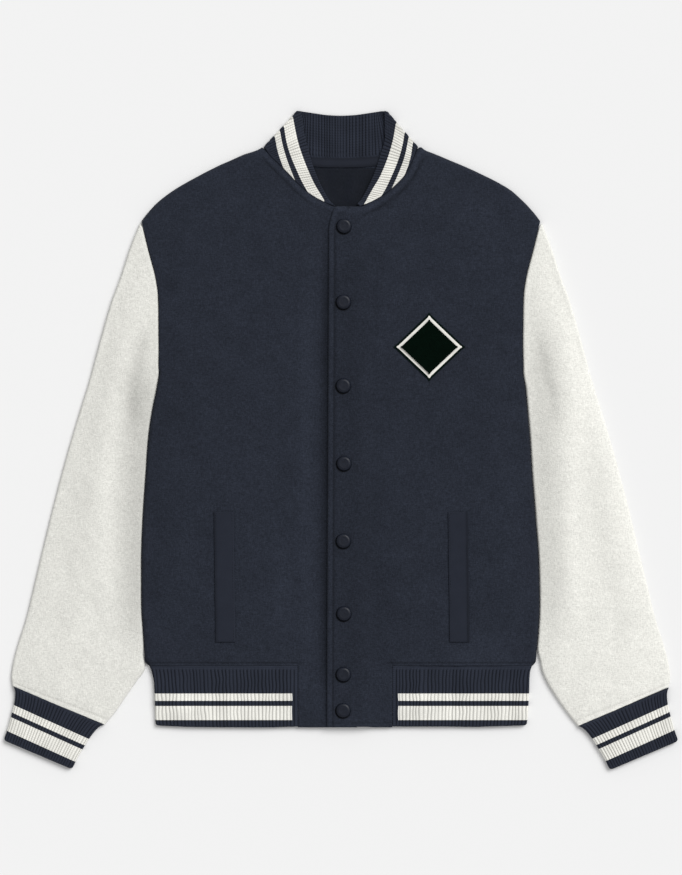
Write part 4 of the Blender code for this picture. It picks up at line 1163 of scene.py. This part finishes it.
def collar(name):
    lines = collar_lines()
    middle = (lines[:, :3] + lines[:, 3:]) / 2
    step = np.linalg.norm(np.diff(middle, axis=0), axis=1)
    in_front = np.minimum(np.arange(len(step)), np.arange(len(step))[::-1]) < len(COLLAR_FRONT)
    passed = np.concatenate([[0.0], np.cumsum(step * np.where(in_front, COLLAR_PITCH / FRONT_PITCH, 1.0))])
    position, valley, own = rib_columns(float(passed[-1]), COLLAR_PITCH, seed=81, closed=False)
    smooth = [curve(list(zip(passed, lines[:, k])))(position) for k in range(6)]
    neck_end, top_end = np.stack(smooth[:3], axis=-1), np.stack(smooth[3:], axis=-1)
    t = np.array([0.0, 0.012, 0.04, *np.linspace(0.07, 0.93, 42), 0.955, 0.98, 0.994, 1.0])
    grid = neck_end[None] + t[:, None, None] * (top_end - neck_end)[None]
    # on the front the band swells between seam and edge
    on_front = smoothstep(grid[..., 2], COLLAR_LOW + 3.0, COLLAR_LOW + 4.2)
    length = np.linalg.norm(top_end[:, :2] - neck_end[:, :2], axis=1)
    bulge = on_front * COLLAR_SWELL * np.sin(math.pi * t * 0.8)[:, None]
    grid[..., 2] += bulge * np.minimum(length / 30.0, 1.0)
    grid[..., 2] += 0.25 * on_front * waviness(grid[..., 0], grid[..., 1], 30.0, seed=82)
    settled = smoothstep(t, 0.72, 1.0)[:, None] * smoothstep(length, 26.0, 40.0)
    grid[..., 2] -= EDGE_SETTLE * on_front * settled
    grid[..., 1] += TOP_RAISE * smoothstep(t, 0.5, 1.0)[:, None] * smoothstep(top_end[:, 1], 715.0, 732.0)
    face = normals(grid)

    # the shoulder fold crosses the ribs: past line 6 they keep its direction, up to the fold's edge
    line_number = np.interp(position, passed, np.arange(len(passed)))
    number = np.minimum(line_number, len(passed) - 1 - line_number)
    rib_place = np.broadcast_to(position, grid.shape[:2]).copy()
    for side, last_line in ((-1, 6), (1, len(passed) - 7)):
        start, along = lines[last_line, :2], lines[last_line, 3:5] - lines[last_line, :2]
        offset = grid[..., :2] - start
        away = np.abs(offset[..., 0] * along[1] - offset[..., 1] * along[0]) / np.linalg.norm(along)
        crossing = passed[last_line] - side * away * COLLAR_PITCH / FRONT_PITCH
        share = (number >= 6.0) * (1.0 - smoothstep(number, 11.5, 15.0))
        share = share * ((line_number < len(passed) / 2) == (side < 0))
        rib_place += share * (crossing - rib_place)
    valley, own = np.interp(rib_place, position, valley), np.interp(rib_place, position, own)

    from_top = (1.0 - t)[:, None] * length[None, :]
    from_seam = t[:, None] * length[None, :]
    alive = smoothstep(from_seam, 0.5, 3.5) * smoothstep(length, 2.0, 8.0)[None, :]
    near_edge = 0.6 + 0.4 * smoothstep(from_top, 0.0, 4.0)
    lip = rolled(from_top, LIP)
    seam_dip = 0.9 * np.exp(-from_seam / 2.0)
    sink = COLLAR_DEPTH * own * valley**2.4 * alive * near_edge
    out = RIB / 2 - np.minimum(sink + lip + seam_dip, 1.1)
    outer = grid - face * np.minimum(RIB / 2 - 0.2, out)[..., None]
    inner = grid + face * (RIB / 2 - np.minimum(sink + lip * 0.9, 1.1))[..., None]

    # the stripes widen and lean towards the shoulder folds, and behind them they keep their place
    stripe = np.empty(from_top.shape)
    turned = [int(np.argmin(np.abs(line_number - n))) for n in (LAST_STRIPED, len(passed) - 1 - LAST_STRIPED)]
    for k, number in enumerate(line_number):
        left = number < len(passed) / 2
        rib = min(k, turned[0]) if left else max(k, turned[1])
        distances = stripe_distances(-1 if left else 1, top_end[rib], neck_end[rib])
        stripe[:, k] = np.interp(from_top[:, k], [*distances, 120.0], [0.0, *STRIPE_KNOTS, 60.0])
    cloth = np.stack([np.broadcast_to(position, stripe.shape), stripe, np.ones(stripe.shape)], axis=-1)
    plain = cloth * (1.0, 1.0, -1.0)
    tone = 1.0 + 0.06 * waviness(position[None, :], from_top, 26.0, seed=83)
    # painted shade along the neck seam
    tone = tone - 0.30 * np.exp(-from_seam / 1.6) * smoothstep(length, 10.0, 26.0)
    # the ribs just behind the right shoulder fold are darker
    fold_line = len(COLLAR_FRONT) + 4
    from_fold = np.abs(len(passed) - 1 - line_number - fold_line)
    tone = tone - 0.18 * (1.0 - smoothstep(from_fold, 3.0, 5.5))[None, :]
    # two soft pleats of the back half are only painted, as bands of painted shade
    for pleat_shade in (-16.5, 24.0):
        tone = tone - 0.13 * groove(grid[..., 0] - pleat_shade, 1.0, 3.2) * (grid[..., 2] < COLLAR_LOW + 1.5)
    paint = {"tone": tone, "valley": valley * np.minimum(own, 1.0) * alive, "cloth": (cloth, plain)}
    return shell(name, outer, inner, COLLAR_KNIT, paint, flip=True), grid, None


CLOTH["collar"] = collar("knit_collar")
print("collar:", len(CLOTH["collar"][0].data.polygons), "faces")

# %% [markdown]
# ## Tape, lining and welts
#
# Smooth cloth shows in three small places: the tape on the back neck seam, the satin lining below
# it, and the welts of the two pockets. Tape and welts are a tight facing cloth with a fine grain.
# Satin is smoother still, with a soft gloss and a few lazy folds.


# %% Smooth cloth
def facing(name, colour, roughness, sheen, grain, gloss):
    material, tree, shader = new_material(name, roughness, sheen=sheen, specular=gloss)
    threads = noise(tree, 0.9, detail=3.0, stretch=(1.0, 3.0, 1.0))
    clouds = noise(tree, 14.0, detail=3.0)
    parts = [
        attribute(tree, "tone"),
        spread(tree, threads, 1.0 - grain, 1.0 + grain),
        spread(tree, clouds, 0.96, 1.04),
    ]
    tinted(tree, shader, colour, product(tree, parts))
    bumped(tree, shader, threads, 0.25, 0.12)
    return material


FACING = facing("navy facing", (0.0180, 0.0212, 0.0315), 0.9, 0.02, 0.04, 0.08)
TAPE_CLOTH = facing("navy neck tape", (0.0172, 0.0200, 0.0290), 0.9, 0.02, 0.08, 0.08)
SATIN_CLOTH = facing("dark satin", (0.0076, 0.0094, 0.0145), 0.55, 0.0, 0.26, 0.07)


def laid_strip(name, x, h, under, thickness, lip, material, tone, relief=0.0):
    """A strip of cloth that lies on something: its underside at `under`, its edges rounded."""
    from_edges = np.minimum(
        np.minimum(x - x[:, :1], x[:, -1:] - x), np.minimum(h - h[:1], h[-1:] - h)
    )
    top = under + thickness + relief - rolled(np.maximum(from_edges, 0.0), lip)
    outer, inner = np.stack([x, h, top], axis=-1), np.stack([x, h, under], axis=-1)
    return shell(name, outer, inner, material, {"tone": tone}), outer, None


def edge_steps(low, high, spacing, lip):
    """Places from low to high, with close ones where both ends round off."""
    close = lip * np.array([0.0, 0.12, 0.4, 1.0])
    between = np.arange(low + lip + spacing, high - lip - spacing / 2, spacing)
    return np.concatenate([low + close, between, (high - close)[::-1]])


TAPE_COVER = 1.9  # how far the tape laps over the neck seam


def neck_tape(name):
    x = edge_steps(-TAPE_HALF, TAPE_HALF, 2.5, 0.4)
    rows = edge_steps(0.0, TAPE_WIDTH + TAPE_COVER, 1.2, 0.4)
    seam = curve(BACK_NECK)(np.abs(x)) - 8 * JOIN
    h = seam[None, :] - TAPE_WIDTH + rows[:, None]
    x = np.broadcast_to(x, h.shape)
    relief = 0.12 * waviness(x, h, 26.0, seed=91)
    sewn = groove(rows - 1.6, 0.22, 0.7) + groove(TAPE_WIDTH - 1.6 - rows, 0.22, 0.7)
    under = np.full(x.shape, WOOL + LAID_ON)
    in_shade = 0.26 * (1.0 - smoothstep(rows, 1.6, 3.4))
    in_shade = in_shade + 0.20 * smoothstep(rows, TAPE_WIDTH - 0.8, TAPE_WIDTH)
    tone = np.ones(x.shape) - in_shade[:, None]
    return laid_strip(name, x, h, under, TAPE, 0.4, TAPE_CLOTH, tone, relief - sewn[:, None])


def neck_lining(name):
    heights = np.linspace(LINING[0][0], LINING[-1][0], 40)
    half = curve(LINING)(heights)
    x = np.linspace(-1.0, 1.0, 61)[None, :] * half[:, None]
    h = np.broadcast_to(heights[:, None], x.shape)
    relief, tone = folded(LINING_FOLDS, x, h)
    near_rim = smoothstep(half[:, None] - np.abs(x), 2.0, 16.0)
    under = np.full(x.shape, WOOL + LAID_ON)
    relief = (relief + 0.12 * waviness(x, h, 20.0, seed=92)) * near_rim
    return laid_strip(name, x, h, under, SATIN, 0.3, SATIN_CLOTH, 1.0 + tone, relief)


LINING_FOLDS = (
    Fold(((-32, 668), (-22, 645), (-8, 622)), 7.0, 0.7, 0.10),
    Fold(((18, 668), (14, 650), (6, 630)), 6.0, 0.6, 0.08),
    Fold(((36, 664), (30, 646), (20, 632)), 6.0, -0.3, -0.14),
    Fold(((-48, 662), (-40, 648), (-30, 638)), 5.0, -0.3, -0.14),
)


def welt(side, name):
    rows = edge_steps(WELT_LOW, WELT_HIGH, 3.0, WELT_LIP)
    columns = edge_steps(-WELT_WIDTH / 2, WELT_WIDTH / 2, 1.5, WELT_LIP)
    lean = WELT_LEAN * (WELT_HIGH - rows) / (WELT_HIGH - WELT_LOW)
    x = side * WELT_X + lean[:, None] + columns[None, :]
    h = np.broadcast_to(rows[:, None], x.shape)
    under = front_height(side, x, h)[0] + LAID_ON
    crown = 0.25 * np.cos(columns / WELT_WIDTH * math.pi)[None, :] + 0.1 * waviness(x, h, 40.0, seed=93)
    to_end = np.minimum(rows - WELT_LOW, WELT_HIGH - rows)[:, None]
    to_mouth = (WELT_WIDTH / 2 - side * columns)[None, :]
    to_inner = (WELT_WIDTH / 2 + side * columns)[None, :]
    inside = np.minimum(WELT_WIDTH / 2 - np.abs(columns)[None, :], to_end)
    sewn = groove(inside - WELT_STITCH, 0.25, 0.7)
    # the pocket's mouth is on the outer side, where the welt turns under: painted shade there
    tone = np.ones(x.shape) - MOUTH_SHADE[side] * groove(to_mouth - 1.5, 1.0, 1.4)
    # painted light along the welt's inner edge
    tone = tone + 0.12 * np.exp(-to_inner / 1.2)
    return laid_strip(name, x, h, under, WELT, WELT_LIP, FACING, tone, crown - sewn)


WELT_LIP, WELT_STITCH, MOUTH_SHADE = 1.2, 2.0, {-1: 0.18, 1: 0.42}
CLOTH["neck_tape"] = neck_tape("neck_tape_cloth")
CLOTH["neck_lining"] = neck_lining("satin_lining")
for side, word in ((-1, "left"), (1, "right")):
    CLOTH[f"welt_{word}"] = welt(side, f"pocket_welt_{word}")
SMOOTH = ("neck_tape", "neck_lining", "welt_left", "welt_right")
print("smooth cloth pieces:", [CLOTH[k][0].name for k in SMOOTH])

# %% [markdown]
# ## Chest patch
#
# The patch is three layers: a dark felt, a cream felt that shows as an outline, and a chenille top.
# Chenille is chain-stitched in rows that follow the patch's outline, and each loop of pile stands
# up as a small bump. Each layer is a disc of rings that shrink from the outline to the middle.


# %% Patch
def diamond(inset, corner_steps):
    """A plain diamond with rounded corners, standing in by `inset` all round."""
    wide, tall = PATCH_HALF
    scale = 1.0 - inset * math.hypot(wide, tall) / (wide * tall)
    outline = []
    for x, h in ((wide, 0.0), (0.0, tall), (-wide, 0.0), (0.0, -tall)):
        corner = np.array((x, h)) * scale
        along = np.array((-h * wide / tall, x * tall / wide)) / math.hypot(wide, tall)
        back_off = PATCH_CORNER * max(scale, 0.6)
        for t in np.linspace(-1.0, 1.0, corner_steps):
            inwards = corner * (1.0 - back_off / np.linalg.norm(corner) * (0.45 + 0.55 * t * t))
            outline.append(inwards + along * t * back_off * 0.55)
    return np.array(outline)


def patch_layer(name, inset, low, thickness, lip, material, ring_gap, step, pile=None):
    outline = diamond(inset, 5)
    outline = np.vstack([outline, outline[:1]])
    passed = np.concatenate([[0.0], np.cumsum(np.linalg.norm(np.diff(outline, axis=0), axis=1))])
    count = round(passed[-1] / step)
    around = np.arange(count) / count * passed[-1]
    rim = np.stack([np.interp(around, passed, outline[:, k]) for k in (0, 1)], axis=-1)
    wide, tall = PATCH_HALF
    reach = wide * tall / math.hypot(wide, tall) - inset
    rings = np.arange(lip + ring_gap, reach - ring_gap / 2, ring_gap)
    in_from_rim = np.concatenate([lip * np.array([0.0, 0.12, 0.4, 1.0]), rings])
    share = 1.0 - np.append(in_from_rim, reach - 0.02) / reach
    plan = share[:, None, None] * rim[None] + np.array(PATCH_CENTRE)
    x, h = plan[..., 0], plan[..., 1]
    under = front_height(1, x, h)[0] + low
    depth = (1.0 - share[:, None]) * reach * np.ones(x.shape)
    height = thickness - rolled(depth, lip)
    if pile:
        height = height + pile(depth, around[None, :] * share[:, None], x, h) * smoothstep(depth, 0.0, 1.2)
    top = np.stack([x, h, under + height], axis=-1)
    bottom = np.stack([x, h, under], axis=-1)
    tone = 1.0 + 0.05 * waviness(x, h, 12.0, seed=95)
    piece = shell(name, top, bottom, material, {"tone": tone}, wrap=True, flip=True)
    return piece, np.concatenate([top, top[:, :1]], axis=1), None


def chenille_pile(depth, around, x, h):
    """Loops of pile in rows 2.2 mm apart, each loop a little bump."""
    row = np.sqrt(np.abs(np.sin(math.pi * depth / PILE_ROW)))
    loop = 0.7 + 0.3 * np.sin(math.tau * around / PILE_LOOP + 2.4 * np.floor(depth / PILE_ROW))
    return 0.55 * row * loop - 0.45 + 0.12 * waviness(x, h, 4.0, seed=96)


def felt(name, colour, fleck, nap, shine):
    material, tree, shader = new_material(name, roughness=0.95, sheen=shine, specular=2.0 * shine)
    hairs = noise(tree, 1.3, detail=5.0, rough=0.75)
    parts = [attribute(tree, "tone"), spread(tree, hairs, 1.0 - fleck, 1.0 + fleck)]
    tinted(tree, shader, colour, product(tree, parts))
    bumped(tree, shader, hairs, nap, 0.25)
    return material


PILE_ROW, PILE_LOOP = 2.2, 2.0
DARK_FELT = felt("near-black felt", (0.0022, 0.0068, 0.0055), 0.12, 0.4, 0.015)
CREAM_FELT = felt("cream felt", (0.80, 0.785, 0.735), 0.03, 0.4, 0.05)
PILE = felt("dark green chenille", (0.0009, 0.0040, 0.0023), 0.30, 0.6, 0.01)
low = LAID_ON
for node_name, inset, thickness, lip, finish, gap, step, pile in (
    ("patch_border", PATCH_STEPS[0], FELT, 0.35, DARK_FELT, 2.5, 1.5, None),
    ("patch_felt", PATCH_STEPS[1], FELT, 0.35, CREAM_FELT, 2.5, 1.5, None),
    ("patch_chenille", PATCH_STEPS[2], CHENILLE, 0.8, PILE, 0.45, 0.5, chenille_pile),
):
    CLOTH[node_name] = patch_layer(f"{node_name}_layer", inset, low, thickness, lip, finish, gap, step, pile)
    low += thickness + LAID_ON
print("patch layers up to", f"{FRONT_TOP + low:.1f} mm")

# %% [markdown]
# ## Snaps
#
# A snap's cap is a pressed disc with a round shoulder and a shallow dish. It starts as a cylinder:
# the top face is inset and pushed down for the dish, the rim is bevelled round, and the one cap is
# copied to its eight places, each copy with its own mesh.


# %% Snap caps
def select_faces(piece, chosen):
    """In object mode, select only the faces that `chosen` says yes to."""
    for part in (piece.data.vertices, piece.data.edges, piece.data.polygons):
        part.foreach_set("select", [False] * len(part))
    for face in piece.data.polygons:
        face.select = bool(chosen(face))


# the cap's rings from its rim inwards: how much narrower, and how much higher, than the one before
SNAP_RINGS = (
    (0.45, 0.62), (0.40, 0.46), (0.45, 0.34), (0.80, 0.34), (0.75, 0.22),
    (0.45, 0.03), (0.50, -0.06), (0.70, -0.05), (1.40, -0.02), (1.50, 0.00),
)


def snap_cap(material):
    base = (FRONT_TOP + OVERLAP_RISE + LAID_ON) * MM
    radius, height = (SNAP_RADIUS - 0.3) * MM, (SNAP_HEIGHT - 2.10) * MM
    cap_middle = (0, 0, base + height / 2)
    bpy.ops.mesh.primitive_cylinder_add(vertices=64, radius=radius, depth=height, location=cap_middle)
    cap = bpy.context.object
    bpy.ops.object.transform_apply(location=True, rotation=True, scale=True)
    select_faces(cap, lambda face: face.normal.z > 0.9)
    bpy.ops.object.mode_set(mode="EDIT")
    bpy.ops.mesh.select_mode(type="FACE")
    for inset, rise in SNAP_RINGS:
        bpy.ops.mesh.inset(thickness=inset * MM)
        bpy.ops.transform.translate(value=(0.0, 0.0, rise * MM))
    bpy.ops.object.mode_set(mode="OBJECT")
    rim = cap.modifiers.new("round shoulder", "BEVEL")
    rim.width, rim.segments, rim.limit_method, rim.angle_limit = 0.5 * MM, 4, "ANGLE", math.radians(40)
    bpy.ops.object.modifier_apply(modifier=rim.name)
    bpy.ops.object.shade_smooth_by_angle(angle=math.radians(40))
    cap.data.materials.append(material)
    return cap


def enamel():
    material, tree, shader = new_material("navy enamel", roughness=0.44, specular=0.25)
    wear = noise(tree, 3.0, detail=4.0)
    tinted(tree, shader, (0.0047, 0.0071, 0.0150), spread(tree, wear, 0.8, 1.2))
    tree.links.new(spread(tree, wear, 0.38, 0.50), shader.inputs["Roughness"])
    return material


master = snap_cap(enamel())
SNAPS = []
for number, height in enumerate(SNAP_HEIGHTS, start=1):
    snap = master if number == 1 else bpy.data.objects.new("snap", master.data.copy())
    if number > 1:
        bpy.context.scene.collection.objects.link(snap)
    SNAPS.append((snap, number, height))
for (snap, number, height), (across, up) in zip(SNAPS, SNAP_SHIFTS):
    snap.name = f"snap_cap_{number}"
    for vertex in snap.data.vertices:
        vertex.co.x += (CENTRE_FRONT + across) * MM
        vertex.co.y += (height + up - MIDDLE_UP) * MM
print("snaps:", len(SNAPS), "with", len(master.data.polygons), "faces each")

# %% [markdown]
# ## Topstitching
#
# Each stitch is a tiny spindle of thread that lies in a shallow groove. One is modelled from a
# sphere with few faces, and numpy lays copies of its points along each seam as one mesh.


# %% Stitches
bpy.ops.mesh.primitive_uv_sphere_add(segments=8, ring_count=5, radius=1.0)
spindle = bpy.context.object
bpy.ops.object.mode_set(mode="EDIT")
bpy.ops.transform.resize(value=(1.0, 0.22, 0.18))
bpy.ops.object.mode_set(mode="OBJECT")
SPINDLE_POINTS = np.array([vertex.co for vertex in spindle.data.vertices])
SPINDLE_FACES = [tuple(face.vertices) for face in spindle.data.polygons]
bpy.data.objects.remove(spindle)


def thread(name, colour):
    material, tree, shader = new_material(name, roughness=0.8, specular=0.15)
    twist = noise(tree, 0.5, detail=2.0)
    tinted(tree, shader, colour, spread(tree, twist, 0.85, 1.15))
    return material


def stitches(name, path, material, pitch=3.3, half_length=1.25):
    """Topstitching along a path of points in jacket millimetres."""
    path = np.asarray(path, dtype=float)
    passed = np.concatenate([[0.0], np.cumsum(np.linalg.norm(np.diff(path, axis=0), axis=1))])
    count = int(passed[-1] / pitch)
    middles = (np.arange(count) + 0.5) * passed[-1] / count
    place = np.stack([np.interp(middles, passed, path[:, k]) for k in range(3)], axis=-1)
    ahead = np.stack([np.interp(middles + 0.6, passed, path[:, k]) for k in range(3)], axis=-1)
    behind = np.stack([np.interp(middles - 0.6, passed, path[:, k]) for k in range(3)], axis=-1)
    along = (ahead - behind) / np.linalg.norm(ahead - behind, axis=1, keepdims=True)
    sideways = np.cross((0.0, 0.0, 1.0), along)
    upward = np.cross(along, sideways)
    frames = np.stack([along, sideways, upward], axis=1) * half_length
    points = place[:, None] + np.einsum("vk,nkd->nvd", SPINDLE_POINTS, frames)
    offsets = np.arange(count) * len(SPINDLE_POINTS)
    faces = [tuple(v + offset for v in face) for offset in offsets for face in SPINDLE_FACES]
    mesh = bpy.data.meshes.new(name)
    mesh.from_pydata(to_metres(points.reshape(-1, 3)).tolist(), [], faces)
    mesh.shade_smooth()
    piece = bpy.data.objects.new(name, mesh)
    bpy.context.scene.collection.objects.link(piece)
    piece.data.materials.append(material)
    return piece


def on_front(side, line, sunk):
    """A plan line laid on a front's face, `sunk` into it."""
    line = np.array(line, dtype=float)
    spans = [np.linspace(a, b, 12, endpoint=False) for a, b in zip(line[:-1], line[1:])]
    line = np.concatenate(spans + [line[-1:]])
    return np.column_stack([line, front_height(side, line[:, 0], line[:, 1])[0] - sunk])


NAVY_THREAD = thread("navy thread", (0.0130, 0.0156, 0.0225))
CREAM_THREAD = thread("cream thread", (0.70, 0.69, 0.64))
closing = [
    (edge + CLOSING_STITCH, h)
    for edge, h in (
        (RIGHT_EDGE_HEM, HEM_STITCH), (RIGHT_EDGE_HEM, RIB_HEIGHT),
        (RIGHT_EDGE_TOP, 600.0), (RIGHT_EDGE_TOP + 1.0, 612.0),
    )
]
left_tab = ((RIB_END_LEFT + 3.0, HEM_STITCH), (-LEFT_EDGE, HEM_STITCH))
right_tab = ((RIGHT_EDGE_HEM + CLOSING_STITCH, HEM_STITCH), (RIB_END_RIGHT - 3.0, HEM_STITCH))
SEWN = {
    "front_left": [
        stitches("stitching_neck_left", on_front(-1, neck_stitch_line(-1)[1:], 0.35), NAVY_THREAD),
        stitches("stitching_tab_left", on_front(-1, left_tab, 0.25), NAVY_THREAD),
    ],
    "front_right": [
        stitches("stitching_neck_right", on_front(1, neck_stitch_line(1)[1:], 0.35), NAVY_THREAD),
        stitches("stitching_closing", on_front(1, closing, 0.4), NAVY_THREAD),
        stitches("stitching_tab_right", on_front(1, right_tab, 0.25), NAVY_THREAD),
    ],
}
for word in ("left", "right"):
    sleeve_line = STITCH_PATHS[f"sleeve_{word}"][8:-8]
    SEWN[f"sleeve_{word}"] = [stitches(f"stitching_sleeve_{word}", sleeve_line, CREAM_THREAD)]
for side, word in ((-1, "left"), (1, "right")):
    half, low, high = WELT_WIDTH / 2 - WELT_STITCH, WELT_LOW + WELT_STITCH, WELT_HIGH - WELT_STITCH
    corners = ((half, low), (half, high), (-half, high), (-half, low), (half, low))
    line = [(side * WELT_X + x + WELT_LEAN * (WELT_HIGH - h) / (WELT_HIGH - WELT_LOW), h) for x, h in corners]
    welt_line = on_front(side, line, -WELT - LAID_ON)
    SEWN[f"welt_{word}"] = [stitches(f"stitching_welt_{word}", welt_line, NAVY_THREAD)]
print("stitched lines:", sum(len(lines) for lines in SEWN.values()))

# %% [markdown]
# ## Putting each piece in the frame
#
# Every sheet, line of stitches and snap cap hangs from the frame's root, and the plain piece that
# it stands for is hidden.

for node_name, (piece, grid, keep) in CLOTH.items():
    sewn = SEWN.get(node_name, [])
    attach(piece, "root")
    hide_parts(node_name)
    for line in sewn:
        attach(line, "root")
for snap, number, _ in SNAPS:
    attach(snap, "root")
    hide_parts(f"snap_{number}")

# %% [markdown]
# ## Floor, light and camera
#
# The jacket lies on a plain pale floor. Even light from all round, as in a light tent, gives the
# soft contact shadow, and one large soft light from the upper right gives the folds their shape.

# %% Stage
KEY_TURN, KEY_RISE, KEY_SPREAD, KEY_POWER, AMBIENT = 46.0, 46.0, 34.0, 2.2, 0.56
bpy.ops.mesh.primitive_plane_add(size=24.0, location=(0, 0, -0.0004))
floor = bpy.context.object
floor.name = "floor"
floor_finish, _, floor_shader = new_material("pale floor", roughness=1.0, specular=0.0)
floor_shader.inputs["Base Color"].default_value = (0.84, 0.84, 0.84, 1.0)
floor.data.materials.append(floor_finish)

world = bpy.data.worlds.new("light tent")
bpy.context.scene.world = world
world.use_nodes = True
world.node_tree.nodes["Background"].inputs["Color"].default_value = (1.0, 1.0, 1.0, 1.0)
world.node_tree.nodes["Background"].inputs["Strength"].default_value = AMBIENT

lamp = bpy.data.lights.new("key light", "SUN")
lamp.energy, lamp.angle = KEY_POWER, math.radians(KEY_SPREAD)
key = bpy.data.objects.new("key light", lamp)
key.rotation_euler = (math.radians(90.0 - KEY_RISE), 0.0, math.radians(KEY_TURN + 90.0))
bpy.context.scene.collection.objects.link(key)
bpy.context.scene.view_settings.view_transform = "Standard"
print("key light from", KEY_TURN, "degrees, rising", KEY_RISE)

# %% Camera
VIEW_HEIGHT, CAMERA_AWAY, SENSOR = 1051.7, 4000.0, 36.0  # mm of floor shown, of air above, and of sensor
VIEW_MIDDLE = (0.2, 3.4)
lens = bpy.data.cameras.new("camera")
lens.sensor_width = SENSOR
lens.lens = SENSOR * CAMERA_AWAY / VIEW_HEIGHT
lens.clip_end = 50.0
camera = bpy.data.objects.new("camera", lens)
camera.location = (VIEW_MIDDLE[0] * MM, VIEW_MIDDLE[1] * MM, CAMERA_AWAY * MM)
bpy.context.scene.collection.objects.link(camera)
bpy.context.scene.camera = camera
